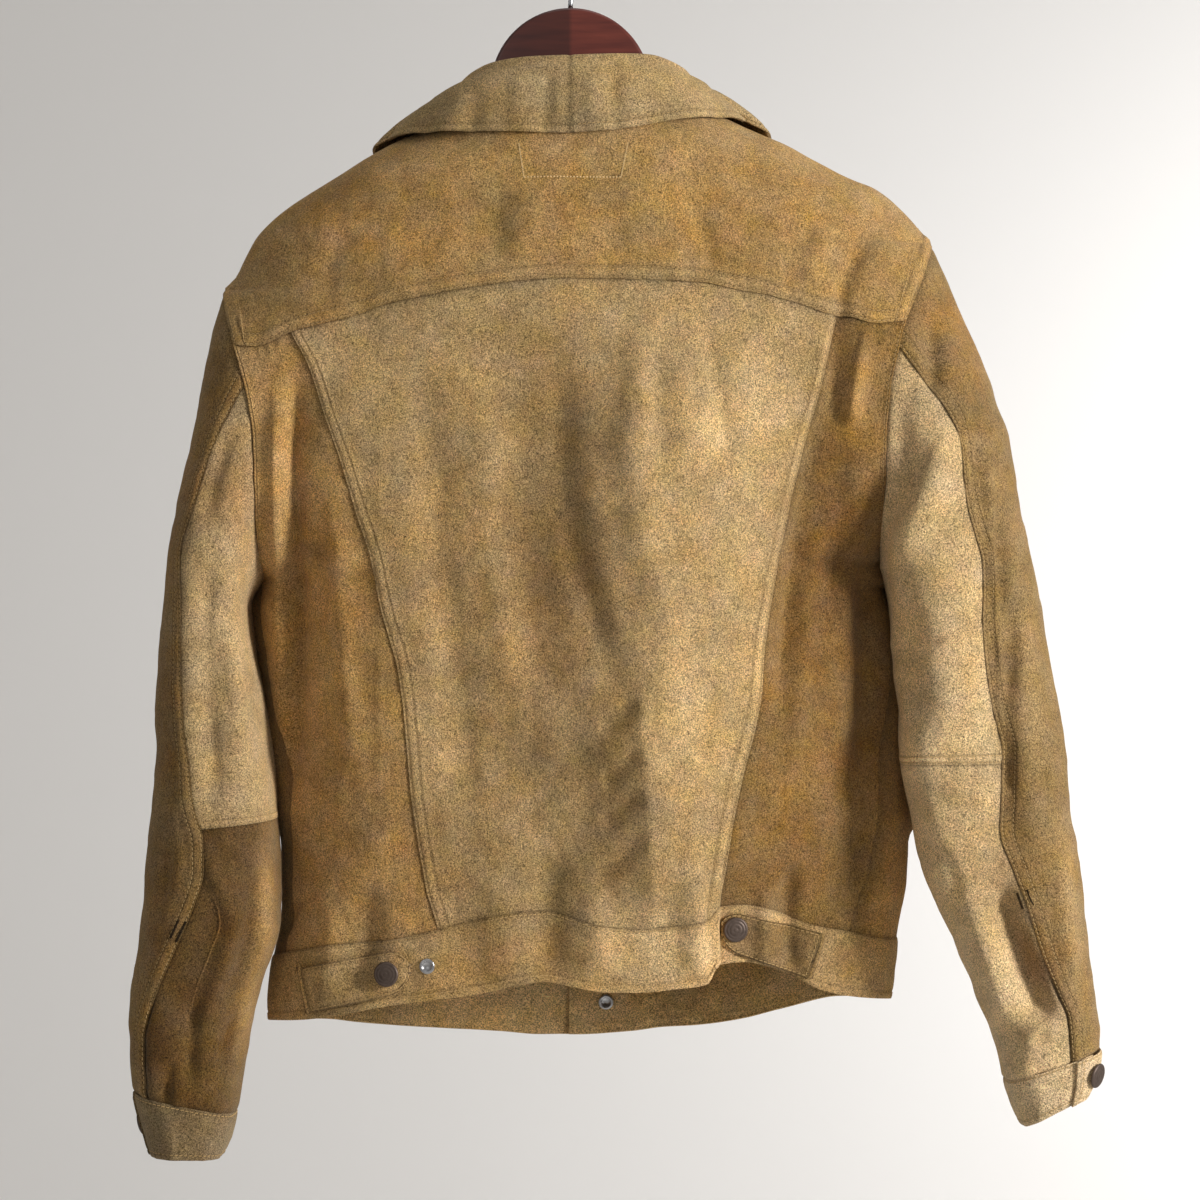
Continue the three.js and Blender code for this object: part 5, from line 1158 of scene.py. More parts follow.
def make_collar(rows, s, name):
    t = col(rows, 0)
    order = np.argsort(t)
    cs = [Curve(t[order], col(rows, k)[order]) for k in range(1, 6)]
    ang = np.concatenate([[0, 0.6, 1.4, 2.4], np.linspace(4, 176, 92)]) * s
    prof = []
    for a in ang:
        th = a * RAD
        front = abs(a) > 90
        nkx = BODY_X + (NECK_X[0 if s < 0 else 1] - BODY_X) * math.sin(abs(th))
        nd = float(neck_front(nkx) if front else neck_back(nkx))
        n0 = body(angle_at(nkx, nd, front), nd)
        rx, ry, rz, lx, ld = [float(c(a)) for c in cs]
        up = unit(np.array([rx, ry, rz]) - n0)
        Np = n0 + up * 1.6
        Np[0] += (BODY_X - Np[0]) * 0.012
        Np[1] += -Np[1] * 0.02
        leaf_front = abs(a) > 88.5
        lth = angle_at(lx, ld, leaf_front)
        L = body(lth, ld) + body_n(lth, ld) * LEAF_CLEAR
        if a == 0:
            L[0] = Np[0] = 0
        R = np.array([rx, ry, rz - COLLAR_CLOTH / 2])
        fall = L - R
        side = unit(np.array([fall[0], fall[1], 0.0]))
        if abs(a) < 8:
            side = unit(side * abs(a) / 8 + np.array([0, -1.0, 0]) * (1 - abs(a) / 8))
        inner, out_p = R - side * ROLL_R, R + side * ROLL_R
        inner[2] = out_p[2] = R[2] - ROLL_R
        kk = 6.5 if front else 4.0
        kk = 4.0 + 2.5 * float(step(80, 100, abs(a)))

        def clear(p):
            if p[1] < 5 or abs(p[0] - BODY_X) >= abs(float(edge(s, -p[2])) - BODY_X):
                return p
            y = body(angle_at(p[0], -p[2], True), -p[2])[1] + LEAF_CLEAR + 2.2
            p[1] = max(p[1], y)
            return p

        def bulge(q, k):
            return out_p + (L - out_p) * q + side * k * 0.6 + np.array([0, 0, k * 0.6])
        c7 = [R - side * ROLL_R * 0.72 - np.array([0, 0, ROLL_R * 0.3]), R, R + side * ROLL_R * 0.72 - np.array([0, 0, ROLL_R * 0.3])]
        prof.append([Np, Np * 0.45 + inner * 0.55, inner] + c7 + [clear(out_p), clear(bulge(0.3, kk * 0.8)), clear(bulge(0.6, kk)), clear(bulge(0.82, kk * 0.6)), L])
    prof = np.array(prof)
    for _ in range(2):                         # even out small steps between stations
        m = prof.copy()
        m[2:-1] = prof[2:-1] * 0.5 + (prof[1:-2] + prof[3:]) * 0.25
        prof = m
    out = []
    for p in prof:
        L = np.concatenate([[0], np.cumsum(np.linalg.norm(np.diff(p, axis=0), axis=1))])
        leaf_len = L[-1]
        want = np.concatenate([np.linspace(0, L[6], 22), np.linspace(L[6], leaf_len - 9, 22)[1:], leaf_len - np.array([6.8, 5.6, 4.4, 2.6, 1.2, 0.5, 0])])
        out.append([[float(Curve(L, p[:, k])(w)) for k in range(3)] for w in want])
    P = np.array(out)
    N = unit(np.cross(np.gradient(P, axis=1), np.gradient(P, axis=0))) * s
    N[0, :, 0] = 0
    N = unit(N)
    U, V = to_u(P[..., 0], P[..., 1]), to_v(-P[..., 2], P[..., 1])
    leaf = np.zeros(P.shape[:2])
    leaf[:, 24:] = 1
    dist = np.arange(P.shape[1])
    lift = (folds(U, V, COLLAR_FOLDS) * (P[..., 1] < 0) + 0.55 * drape(U, V, 91)) * leaf * step(0, 6, np.abs(ang))[:, None].clip(0.35, 1)
    end = np.linalg.norm(P - P[:, -1:], axis=-1)
    lift = lift - 0.5 * np.exp(-((end - 5.6) / 0.8) ** 2) * leaf - 0.7 * np.exp(-(end / 0.8) ** 2) * leaf
    seam = np.abs(ang)[:, None] * 0.9
    lift = lift - 0.6 * np.exp(-(seam / 1.2) ** 2)
    Q = P + N * (COLLAR_CLOTH / 2 + np.maximum(lift, -2.4))[..., None]
    # Painted shade along the leaf's stitch groove, at its edge and at the centre back seam, with a painted highlight
    # just inside the edge.
    dark = (1 - leaf * (0.42 * np.exp(-((end - 5.6) / 0.8) ** 2) + 0.2 * np.exp(-(end / 0.6) ** 2) - 0.14 * np.exp(-((end - 3.0) / 1.5) ** 2))) * (1 - 0.4 * np.exp(-(seam / 0.9) ** 2))
    o = shell(name, name, Q, true_normals(Q, N), COLLAR_CLOTH, BASE["collar"], shade=dark)
    stitch_line(Q[3:, -6], N[3:, -6])


def make_sleeve(s):
    side = "left" if s < 0 else "right"
    kk = np.concatenate([[0, 0.05, 0.12, 0.22, 0.34], np.linspace(0.45, CUFF_K - 0.25, 168), [CUFF_K - 0.16, CUFF_K - 0.08, CUFF_K - 0.03, CUFF_K]])
    kk = np.sort(np.unique(np.concatenate([kk, [ELBOW_K - 0.26, ELBOW_K - 0.16, ELBOW_K - 0.06, ELBOW_K, ELBOW_K + 0.04, ELBOW_K + 0.1]])))
    b = back_seam(s, kk)

    def part(name, node, rows, a0, a1, n, off0, off1, fel, base, elbow=None, laps=(False, False)):
        k = kk[rows]
        q = np.linspace(0, 1, 25)[None, :]
        pts = sleeve(s, k[:, None], a0[rows][:, None] + (a1[rows] - a0[rows])[:, None] * q)
        W = np.linalg.norm(np.diff(pts, axis=1), axis=-1).sum(1)
        S = fractions(W, off0, off1, n)
        PS = a0[rows][:, None] + (a1[rows] - a0[rows])[:, None] * S
        K = np.repeat(k[:, None], S.shape[1], 1)
        P0, N = sleeve(s, K, PS), sleeve_n(s, K, PS)
        dl, dr = S * W[:, None], (1 - S) * W[:, None]
        vv = -P0[..., 2]
        h = fel(dl, dr, vv)
        # puckers into the cuff and at the armhole
        w_end = np.exp(-((CUFF_K - K) / 0.55) ** 2)
        h = h + w_end * 1.7 * noise2(PS * 42, K * 3, 9, 61 + s) - 1.2 * np.exp(-((CUFF_K - K) / 0.08) ** 2)
        h = h - 0.7 * np.exp(-(K / 0.10) ** 2) + 0.8 * np.exp(-(K / 0.5) ** 2) * noise2(vv, PS * 20, 17, 62 + s)
        back_d = dr if laps[1] else dl
        # Painted shade along the seams, at the armhole, where the sleeve goes into the cuff and along the elbow seam.
        dark = (lap_shade(dl) if laps[0] else low_shade(dl)) * (lap_shade(dr) if laps[1] else low_shade(dr)) * low_shade(K * 26)
        dark = dark * (1 - 0.35 * np.exp(-((CUFF_K - K) / 0.07) ** 2))
        # the seam is left open above the cuff: a shallow groove, painted darker inside as painted shade
        slot = step(CUFF_K - 2.7, CUFF_K - 2.4, K)
        h = h - 1.3 * slot * np.exp(-(back_d / 1.6) ** 2)
        dark = dark * (1 - 0.5 * slot * np.exp(-(back_d / 1.3) ** 2))
        if elbow is not None:
            e = (K - ELBOW_K) * 32.0 * elbow        # rough distance from the elbow seam, mm
            h = h + (0.5 * felled(np.abs(e), PS * 45) if elbow < 0 else sunk(np.abs(e), PS * 45))
            dark = dark * (lap_shade(np.abs(e)) if elbow < 0 else low_shade(np.abs(e)))
        P = P0 + N * (sleeve_lift(s, K, PS, P0) + h)[..., None]
        o = shell(name, node, P, true_normals(P, N), CLOTH, BASE[base], shade=dark)
        return P, N, K
    front0 = np.full(kk.shape, FRONT_SEAM)
    L = "_l" if s < 0 else "_r"
    allr = np.arange(len(kk))
    top_fel = lambda a, c, v: sunk(a, v) + felled(c, v)
    P, N, K = part(f"sleeve_top_{side}", f"sleeve_top_{side}", allr, front0, b, 44, OFFN, OFF, top_fel, "top" + L, laps=(False, True))
    for off in STITCH_AT:
        stitch_line(P[:, -1 - at_off(OFF, off)], N[:, -1 - at_off(OFF, off)])
    up = np.where(kk <= ELBOW_K + 1e-6)[0]
    lo = np.where(kk >= ELBOW_K - 1e-6)[0]
    und = lambda a, c, v: sunk(a, v) + sunk(c, v)
    full = np.full(kk.shape, FRONT_SEAM + 2 * math.pi)
    P, N, K = part(f"sleeve_under_upper_{side}", f"sleeve_under_upper_{side}", up, b, full, 50, OFFN, OFFN, und, "up" + L, -1)
    for kq in (ELBOW_K - 0.06, ELBOW_K - 0.26):
        r = int(np.argmin(np.abs(kk[up] - kq)))
        stitch_line(P[r], N[r])
    part(f"sleeve_under_lower_{side}", f"sleeve_under_lower_{side}", lo, b, full, 50, OFFN, OFFN, und, "low" + L, 1)
    # cuff: a strip round the wrist, its end lapped over its start
    lap0, LAP = (8 if s < 0 else 68) * RAD, 22 * RAD
    f = np.concatenate([[0, 0.003, 0.008, 0.014], np.linspace(0.02, 0.98, 108), [0.986, 0.992, 0.997, 1.0]])
    k = np.concatenate([[CUFF_K, CUFF_K + 0.03, CUFF_K + 0.09], np.linspace(CUFF_K + 0.16, END_K - 0.3, 14), [END_K - 0.24, END_K - 0.16, END_K - 0.06, END_K]])
    K, F = np.meshgrid(k, f, indexing="ij")
    PS = lap0 - LAP + F * (2 * math.pi + LAP)
    P0, N = sleeve(s, K, PS), sleeve_n(s, K, PS)
    y = 0.6 - 1.0 * np.exp(-((K - CUFF_K) / 0.05) ** 2) - 0.45 * np.exp(-((K - CUFF_K - 0.09) / 0.035) ** 2) - 0.45 * np.exp(-((END_K - 0.24 - K) / 0.05) ** 2) - 0.7 * np.exp(-((END_K - K) / 0.05) ** 2)
    h = y + 0.9 * noise2(PS * 38, K * 7, 12, 66 + s) + 0.4 * noise2(PS * 38, K * 7, 5, 67 + s) + 2.7 * step(0.80, 0.93, F)
    P = P0 + N * h[..., None]
    free = (1 - F) * 150
    # Painted shade at the cuff's free end, along its stitch rows and over its lapped start.
    dark = 1 - 0.35 * np.exp(-(free / 1.0) ** 2) - 0.30 * np.exp(-((free - 2.4) / 0.6) ** 2) - 0.45 * np.exp(-(((F - LAP / (2 * math.pi + LAP)) * 150 + 1.6) / 1.6) ** 2)
    dark = dark * (1 - 0.30 * np.exp(-((K - CUFF_K - 0.09) / 0.03) ** 2)) * (1 - 0.25 * np.exp(-((END_K - 0.24 - K) / 0.04) ** 2))
    o = shell(f"cuff_{side}", f"cuff_{side}", P, true_normals(P, N), 1.9, BASE["cuff" + L], shade=dark)
    stitch_line(P[2], N[2])
    stitch_line(P[-4], N[-4])
    stitch_line(P[2:-3, -5], N[2:-3, -5])
    ps, kc = (-26 if s < 0 else 44) * RAD, CUFF_K + 0.9
    n = sleeve_n(s, kc, ps)
    return sleeve(s, kc, ps) + n * 4.6, n


# ------------------------------------------------------------------ snaps, hanger, hook
def spin(name, node, profile, p, n, mat, seg=40):
    n = unit(np.asarray(n, float))
    a = unit(np.cross(n, [0.3, 0.1, 0.95]))
    b = np.cross(n, a)
    pr = np.array(profile, float)
    ring_n = len(pr)
    t = np.arange(seg) / seg * 2 * math.pi
    verts = []
    for r, z in pr:
        verts.append(p + n * z + (a * (r * np.cos(t))[:, None] + b * (r * np.sin(t))[:, None]))
    verts = np.concatenate(verts)
    faces = []
    for i in range(ring_n - 1):
        for j in range(seg):
            k = (j + 1) % seg
            faces.append((i * seg + j, i * seg + k, (i + 1) * seg + k, (i + 1) * seg + j))
    o = tidy(name, verts, faces, mat, node)
    return o


CAP_PROFILE = [(0.01, -0.3), (7.9, -0.3), (8.5, 0.2), (8.7, 0.8), (8.45, 1.5), (7.9, 1.9), (7.3, 2.05), (7.0, 1.92), (6.5, 1.95), (6.1, 2.2), (5.6, 2.32),
               (5.1, 2.34), (4.8, 2.26), (4.3, 2.3), (3.9, 2.48), (3.2, 2.58), (2.4, 2.62), (2.0, 2.55), (1.5, 2.58), (1.1, 2.7), (0.5, 2.76), (0.01, 2.78)]
STUD_PROFILE = [(0.01, -0.2), (5.0, -0.2), (5.4, 0.3), (5.4, 1.1), (4.9, 1.6), (4.1, 1.7), (3.4, 1.4), (3.1, 0.8), (2.9, 0.35), (0.01, 0.3)]


def on_sleeve(s, path):
    """Sleeve coordinates of points of the back view, by nearest sample."""
    K, A = np.meshgrid(np.linspace(0.3, END_K, 700), np.linspace(0.02, math.pi - 0.02, 420), indexing="ij")
    q = sleeve(s, K, A)
    U, V = to_u(q[..., 0], q[..., 1]), to_v(-q[..., 2], q[..., 1])
    out = []
    for u, v in path:
        i = np.argmin((U - u) ** 2 + (V - v) ** 2)
        out.append((K.flat[i], A.flat[i]))
    return np.array(out)


def strip(name, path, offs, heights, shades, base, s=0, lift=0.0):
    """Narrow length of suede along a path of the back view; s picks the sleeve, 0 the body."""
    pts = np.array(path, float)
    L = np.concatenate([[0], np.cumsum(np.hypot(*np.diff(pts, axis=0).T))])
    n = max(8, int(L[-1] / 3))
    t = np.linspace(0, L[-1], n)
    if s == 0:
        uv = np.stack([Curve(L, pts[:, 0])(t), Curve(L, pts[:, 1])(t)], 1)
        x, d = on_back(uv[:, 0], uv[:, 1])
        th = angle_at(x, d)
        p0, nn = body(th, d), body_n(th, d)
        c = p0 + nn * (body_lift(p0, True) + lift)[:, None]
    else:
        ka = on_sleeve(s, pts)
        k, a = Curve(L, ka[:, 0])(t), Curve(L, ka[:, 1])(t)
        p0, nn = sleeve(s, k, a), sleeve_n(s, k, a)
        c = p0 + nn * (sleeve_lift(s, k, a, p0) + lift)[:, None]
    tt = unit(np.gradient(c, axis=0))
    w = unit(np.cross(nn, tt))
    fade = np.sin(np.clip(np.linspace(0, 1, n), 0, 1) * math.pi) ** 0.35
    P = c[:, None, :] + w[:, None, :] * np.array(offs)[None, :, None] + nn[:, None, :] * (np.array(heights)[None, :] * fade[:, None])[..., None]
    N = np.repeat(nn[:, None, :], len(offs), 1)
    shell(name, None, P, N, 0.5, BASE[base], shade=np.repeat(np.array(shades)[None, :], n, 0))


# The welt's shade row is painted shade at its sides and a painted highlight on its top.
WELT = ((-2.8, -2.1, -1.5, -0.7, 0.7, 1.5, 2.1, 2.8), (-0.1, 0.3, 1.5, 2.0, 2.0, 1.5, 0.3, -0.1), (0.25, 0.25, 0.9, 1.25, 1.25, 0.9, 0.25, 0.25))
TACK = ((-0.9, -0.4, 0.4, 0.9), (-0.2, 0.3, 0.3, -0.2), (0.3, 0.16, 0.16, 0.3))
# The crease strip is painted paler along its middle.
CREASE = ((-1.0, -0.5, 0.5, 1.0), (-0.2, 0.35, 0.35, -0.2), (0.9, 1.45, 1.45, 0.9))


def make_strips():
    strip("slot_welt_right", [(826, 935), (820, 956), (812, 981)], *WELT, "tab_r", lift=1.2)
    strip("slot_welt_left", [(300, 966), (304, 988), (309, 1013)], *WELT, "tab", lift=1.2)
    # a paler strip along a crease of the left lower sleeve
    strip("pale_crease_left", [(206, 880), (214, 898), (219, 912), (220, 924), (214, 942), (205, 966), (197, 986), (191, 1005), (186, 1024)], *CREASE, "low_l", s=-1)
    for name, s, path in (("tack_left_a", -1, [(179, 920), (174, 930), (170, 938)]), ("tack_left_b", -1, [(186, 921), (181, 932), (176, 942)]),
                          ("tack_right_a", 1, [(1017, 892), (1020, 900), (1023, 909)]), ("tack_right_b", 1, [(1026, 890), (1030, 899), (1034, 907)])):
        strip(name, path, *TACK, "low_l", s=s, lift=0.9)


def make_stitches():
    """All rows of thread as short raised dashes, in one mesh."""
    V, F, base = [], [], 0
    box = np.array([(-1, -1, 0), (1, -1, 0), (1, 1, 0), (-1, 1, 0), (-0.8, -0.6, 1), (0.8, -0.6, 1), (0.8, 0.6, 1), (-0.8, 0.6, 1)], float)
    quads = np.array([(4, 5, 6, 7), (0, 1, 5, 4), (1, 2, 6, 5), (2, 3, 7, 6), (3, 0, 4, 7), (3, 2, 1, 0)])
    for P, N in STITCHES:
        seg = np.linalg.norm(np.diff(P, axis=0), axis=1)
        L = np.concatenate([[0], np.cumsum(seg)])
        if L[-1] < 8:
            continue
        n = int(L[-1] / 3.3)
        c = (np.arange(n) + 0.5) / n * L[-1]

        def at(w):
            return np.stack([np.interp(w, L, P[:, k]) for k in range(3)], -1)
        p, q = at(c - 1.15), at(c + 1.15)
        nn = unit(np.stack([np.interp(c, L, N[:, k]) for k in range(3)], -1))
        mid, t = (p + q) / 2, unit(q - p)
        w = unit(np.cross(nn, t))
        tilt = 0.12
        t2 = unit(t + w * tilt)
        w2 = unit(np.cross(nn, t2))
        verts = (mid[:, None, :] + t2[:, None, :] * box[None, :, 0:1] * 1.15 + w2[:, None, :] * box[None, :, 1:2] * 0.33
                 + nn[:, None, :] * (box[None, :, 2:3] * 0.34 - 0.05))
        V.append(verts.reshape(-1, 3))
        F.append((quads[None] + (np.arange(n) * 8)[:, None, None] + base).reshape(-1, 4))
        base += n * 8
    tidy("seam_thread", np.concatenate(V), np.concatenate(F), THREAD, None, smooth=False)


def make_label_print():
    """Fine stitching of the inside label, seen as a light rectangle on the yoke."""
    V, F, base = [], [], 0
    for P, N in LABEL:
        t = unit(np.gradient(P, axis=0))
        w = unit(np.cross(N, t))
        for i in range(0, len(P) - 1, 2):
            a, b = P[i], P[i] * 0.15 + P[i + 1] * 0.85
            V += [a + w[i] * 0.42 + N[i] * 0.5, b + w[i] * 0.42 + N[i] * 0.5, b - w[i] * 0.42 + N[i] * 0.5, a - w[i] * 0.42 + N[i] * 0.5,
                  a + w[i] * 0.42 - N[i] * 0.4, b + w[i] * 0.42 - N[i] * 0.4, b - w[i] * 0.42 - N[i] * 0.4, a - w[i] * 0.42 - N[i] * 0.4]
            F += [[base + k for k in q] for q in ((0, 1, 2, 3), (4, 7, 6, 5), (0, 4, 5, 1), (1, 5, 6, 2), (2, 6, 7, 3), (3, 7, 4, 0))]
            base += 8
    tidy("label_stitching", np.array(V), np.array(F), plain("label_thread", lin(244, 210, 156), 0.9, vary=0.2, scale=800), None, smooth=False)


DOME_R, DOME_Z, HANGER_T = 56.0, -124.0, 13.0


def wood():
    m = bpy.data.materials.new("hanger_wood")
    m.use_nodes = True
    t = m.node_tree
    p = t.nodes["Principled BSDF"]
    co = t.nodes.new("ShaderNodeTexCoord")
    mp = t.nodes.new("ShaderNodeMapping")
    mp.inputs["Scale"].default_value = (6, 40, 60)
    link(t, co.outputs["Object"], mp.inputs["Vector"])
    n = t.nodes.new("ShaderNodeTexNoise")
    n.inputs["Scale"].default_value = 3.0
    n.inputs["Detail"].default_value = 6
    link(t, mp.outputs[0], n.inputs["Vector"])
    r = t.nodes.new("ShaderNodeValToRGB")
    r.color_ramp.elements[0].position, r.color_ramp.elements[0].color = 0.3, (*lin(84, 30, 24), 1)
    r.color_ramp.elements[1].position, r.color_ramp.elements[1].color = 0.75, (*lin(128, 58, 44), 1)
    link(t, n.outputs["Fac"], r.inputs["Fac"])
    # The left half of the hanger is painted darker and the right half lighter across x = 0: painted shade and light,
    # with the light coming from the right.
    sep = t.nodes.new("ShaderNodeSeparateXYZ")
    link(t, co.outputs["Object"], sep.inputs[0])
    half = t.nodes.new("ShaderNodeMapRange")
    half.inputs["From Min"].default_value, half.inputs["From Max"].default_value = -0.0015, 0.0015
    half.inputs["To Min"].default_value, half.inputs["To Max"].default_value = 0.42, 0.86
    link(t, sep.outputs["X"], half.inputs["Value"])
    tone = t.nodes.new("ShaderNodeVectorMath")
    tone.operation = "SCALE"
    link(t, r.outputs[0], tone.inputs[0])
    link(t, half.outputs[0], tone.inputs["Scale"])
    link(t, tone.outputs[0], p.inputs["Base Color"])
    p.inputs["Roughness"].default_value = 0.34
    p.inputs["Coat Weight"].default_value = 0.6
    p.inputs["Coat Roughness"].default_value = 0.12
    return m


def make_hanger():
    def top(s):
        xs = np.concatenate([[88.0], np.arange(98, 201, 8.0), [200.0]]) * s
        return np.stack([xs, -(ridge(s, xs) + 4.6)], 1)
    L, R = top(-1), top(1)
    e = 216.0
    zl, zr = L[-1, 1], R[-1, 1]
    a = np.linspace(math.pi - 0.06, 0.06, 60)
    dome = np.stack([DOME_R * np.cos(a), DOME_Z + DOME_R * np.sin(a)], 1)
    pts = [(-e + 8, zl - 10)] + [tuple(q) for q in L[::-1]] + [(-78, L[0, 1] + 1.4), (-68, L[0, 1] + 4.5), (-62.5, L[0, 1] + 8), (-59.0, L[0, 1] + 12)] + [tuple(q) for q in dome]
    pts += [(59.2, R[0, 1] + 11), (62.5, R[0, 1] + 7), (68, R[0, 1] + 3.5), (78, R[0, 1] + 1.0)] + [tuple(q) for q in R]
    pts += [(e - 8, zr - 10), (e - 2.5, zr - 15), (e, zr - 22), (e - 2, zr - 30), (e - 10, zr - 34), (160, R[8, 1] - 34), (110, R[2, 1] - 44), (60, -188), (0, -180), (-60, -190),
            (-110, L[2, 1] - 44), (-160, L[8, 1] - 34), (-e + 10, zl - 34), (-e + 2, zl - 30), (-e, zl - 22), (-e + 2.5, zl - 15)]
    me = bpy.data.meshes.new("hanger_body_wood")
    n = len(pts)
    h = HANGER_T / 2
    verts = [(x / 1000, -h / 1000, z / 1000) for x, z in pts] + [(x / 1000, h / 1000, z / 1000) for x, z in pts]
    faces = [list(range(n)), list(range(2 * n - 1, n - 1, -1))] + [[i, n + i, n + (i + 1) % n, (i + 1) % n] for i in range(n)]
    me.from_pydata(verts, [], faces)
    me.validate()
    o = bpy.data.objects.new("hanger_body_wood", me)
    bpy.context.scene.collection.objects.link(o)
    bpy.context.view_layer.objects.active = o
    o.select_set(True)
    bpy.ops.object.mode_set(mode="EDIT")
    bpy.ops.mesh.select_all(action="SELECT")
    bpy.ops.mesh.normals_make_consistent(inside=False)
    bpy.ops.object.mode_set(mode="OBJECT")
    bv = o.modifiers.new("round", "BEVEL")
    bv.width, bv.segments, bv.limit_method, bv.angle_limit = 0.0026, 4, "ANGLE", 60 * RAD
    bv.harden_normals = False
    bpy.ops.object.modifier_apply(modifier=bv.name)
    bpy.ops.object.shade_smooth_by_angle(angle=50 * RAD)
    o.select_set(False)
    me = o.data
    me.materials.append(wood())
    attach(o, "root")
    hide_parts("hanger_body")


def make_hook():
    R, W = 20.0, 1.75
    c = W - R
    low, a0, turn = DOME_Z + DOME_R + 0.4, -62 * RAD, 250 * RAD
    join = np.array([R * math.cos(a0), 0, c + R * math.sin(a0)])
    p0, p1 = np.array([0, 0, low]), np.array([0, 0, c - R - 1])
    p2 = join + np.array([-math.cos(a0 + math.pi / 2), 0, -math.sin(a0 + math.pi / 2)]) * 7
    pts = []
    for u in np.linspace(0, 1, 24)[:-1]:
        q = [p0 + (p1 - p0) * u, p1 + (p2 - p1) * u, p2 + (join - p2) * u]
        q = [q[0] + (q[1] - q[0]) * u, q[1] + (q[2] - q[1]) * u]
        pts.append(q[0] + (q[1] - q[0]) * u)
    for a in a0 + np.linspace(0, 1, 72) * turn:
        pts.append(np.array([R * math.cos(a), 0, c + R * math.sin(a)]))
    pts = np.array(pts)
    t = unit(np.gradient(pts, axis=0))
    b = np.array([0, 1.0, 0])
    n = unit(np.cross(b, t))
    seg = 20
    rad = np.full(len(pts), W)
    verts = [pts[i] + (n[i] * math.cos(q) + b * math.sin(q)) * rad[i] for i in range(len(pts)) for q in np.arange(seg) / seg * 2 * math.pi]
    faces = [(i * seg + j, i * seg + (j + 1) % seg, (i + 1) * seg + (j + 1) % seg, (i + 1) * seg + j) for i in range(len(pts) - 1) for j in range(seg)]
    V, F = np.array(verts), np.array(faces)
    k = len(V)
    caps = []
    tip = pts[-1] + t[-1] * 1.2
    V = np.concatenate([V, [pts[0]], [tip]])
    for j in range(seg):
        caps.append((k, (j + 1) % seg, j, j))
        caps.append((k + 1, (len(pts) - 1) * seg + j, (len(pts) - 1) * seg + (j + 1) % seg, (len(pts) - 1) * seg + (j + 1) % seg))
    me = bpy.data.meshes.new("hanger_hook_wire")
    me.from_pydata([tuple(v / 1000) for v in V], [], [list(f) for f in F] + [list(f[:3]) for f in caps])
    me.validate()
    me.shade_smooth()
    me.materials.append(STEEL)
    o = bpy.data.objects.new("hanger_hook_wire", me)
    bpy.context.scene.collection.objects.link(o)
    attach(o, "root")
    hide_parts("hanger_hook")


make_back()
make_yoke()
make_front(-1, LAP_X, False, "front_left")
make_front(1, LAP_UNDER, True, "front_right")
make_bands()
make_tab("tab_left", TAB_L, 0.9, "tab")
make_tab("tab_right", TAB_R, 0.3, "tab_r")
make_collar(COLLAR_L, -1, "collar_left")
make_collar(COLLAR_R, 1, "collar_right")
cuff_snaps = {s: make_sleeve(s) for s in (-1, 1)}

p, n = on_body(388, 973.6, 4.3)
spin("snap_tab_left", "snap_tab_left", CAP_PROFILE, p, n, CAP)
p, n = on_body(737, 931, 4.3)
spin("snap_tab_right", "snap_tab_right", CAP_PROFILE, p, n, CAP)
p, n = on_body(427.5, 966, 1.4)
spin("stud_band_left", "stud_band_left", STUD_PROFILE, p, n, NICKEL)
x, d = on_back(606.0, 1001.6, True)
th = angle_at(x, d, True)
n = body_n(th, d)
p = body(th, d)
p = p + n * (float(body_lift(p, False)) - 2.2 - UNDER_DROP - 0.2 + 1.1)
spin("stud_band_inside", "stud_band_inside", STUD_PROFILE, p, -n, NICKEL)
for s, side in ((-1, "left"), (1, "right")):
    spin(f"snap_cuff_{side}", f"snap_cuff_{side}", CAP_PROFILE, cuff_snaps[s][0], cuff_snaps[s][1], CAP)
for i, z in enumerate((-330, -415, -500, -585, -670, -768)):
    th = angle_at(20.0, -z, True)
    p, n = body(th, float(-z)), body_n(th, float(-z))
    up = float(body_lift(p, False)) * 0.4 + (1.5 if i == 5 else 0.2)
    spin(f"snap_front_{i + 1}", f"snap_front_{i + 1}", CAP_PROFILE, p + n * up, n, CAP)
make_strips()
make_stitches()
make_label_print()
make_hanger()
make_hook()

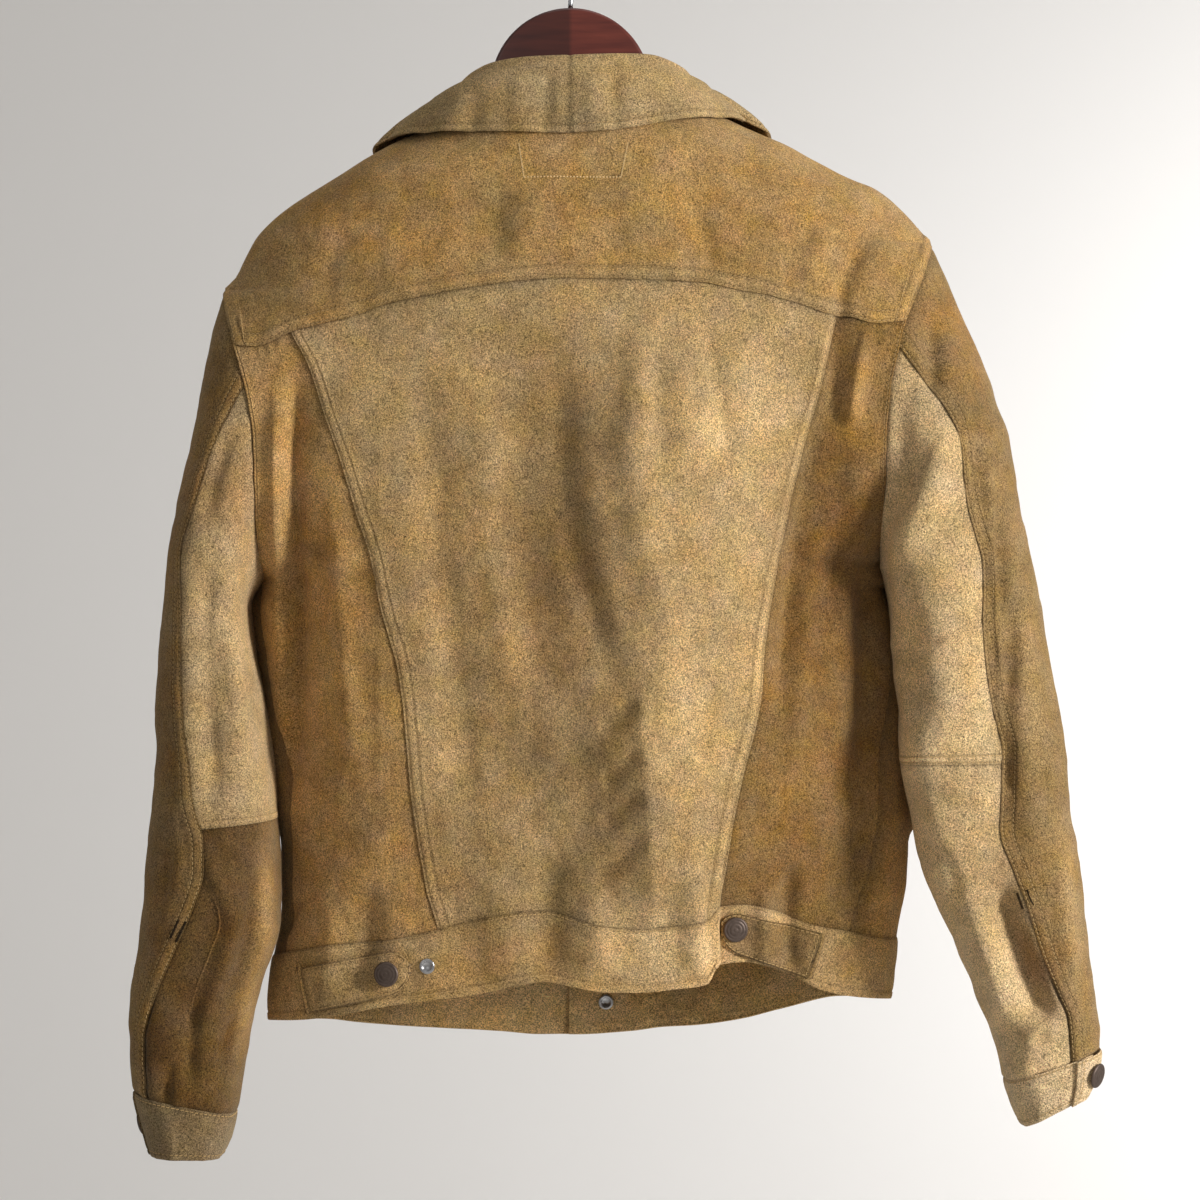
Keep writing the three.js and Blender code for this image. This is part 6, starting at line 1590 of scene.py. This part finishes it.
# ------------------------------------------------------------------ stage, light, camera
def stage_plane(name, size, loc, rot, rgb, rough=0.9):
    bpy.ops.mesh.primitive_plane_add(size=size, location=loc, rotation=rot)
    o = bpy.context.active_object
    o.name = name
    o.data.materials.append(plain(name + "_paint", rgb, rough, vary=0.01, scale=2))
    return o


stage_plane("studio_floor", 16, (0, 0, -2.4), (0, 0, 0), lin(222, 220, 217))
stage_plane("studio_backdrop", 16, (0, 4.6, 0), (90 * RAD, 0, 0), lin(230, 228, 226))


def area(name, loc, aim, size, power, colour=(1, 1, 1)):
    l = bpy.data.lights.new(name, "AREA")
    l.shape, l.size, l.size_y = "RECTANGLE", size[0], size[1]
    l.energy = power
    l.color = colour
    o = bpy.data.objects.new(name, l)
    bpy.context.scene.collection.objects.link(o)
    o.location = loc
    from mathutils import Vector
    o.rotation_euler = (Vector(aim) - Vector(loc)).to_track_quat("-Z", "Y").to_euler()
    return o


area("key_right", (2.9, -1.62, 0.15), (0, 0, -0.5), (0.7, 1.2), 122, (1.0, 0.985, 0.96))
area("fill_left", (-1.8, -3.2, 0.3), (0, 0, -0.5), (2.0, 2.0), 6, (1.0, 0.98, 0.95))
area("top_soft", (0.2, -0.6, 2.2), (0, 0, -0.5), (1.8, 1.2), 7)
area("front_behind", (-0.6, 3.2, 0.6), (0, 0, -0.5), (2.0, 1.6), 20)
area("backdrop_wash", (2.4, 3.2, -0.6), (0.6, 4.6, -0.9), (1.0, 1.6), 59)
w = bpy.data.worlds.new("studio")
bpy.context.scene.world = w
w.use_nodes = True
w.node_tree.nodes["Background"].inputs["Color"].default_value = (1.0, 0.97, 0.925, 1)
w.node_tree.nodes["Background"].inputs["Strength"].default_value = 0.26

cam = bpy.data.cameras.new("camera")
cam.sensor_width = 36
cam.lens = 36 * EYE / (1200 * GRID)
cam.clip_end = 60
co = bpy.data.objects.new("camera", cam)
bpy.context.scene.collection.objects.link(co)
co.location = (MID_X / 1000, -EYE / 1000, MID_Z / 1000)
co.rotation_euler = (90 * RAD, 0, 0)
bpy.context.scene.camera = co
bpy.context.scene.view_settings.view_transform = "Standard"
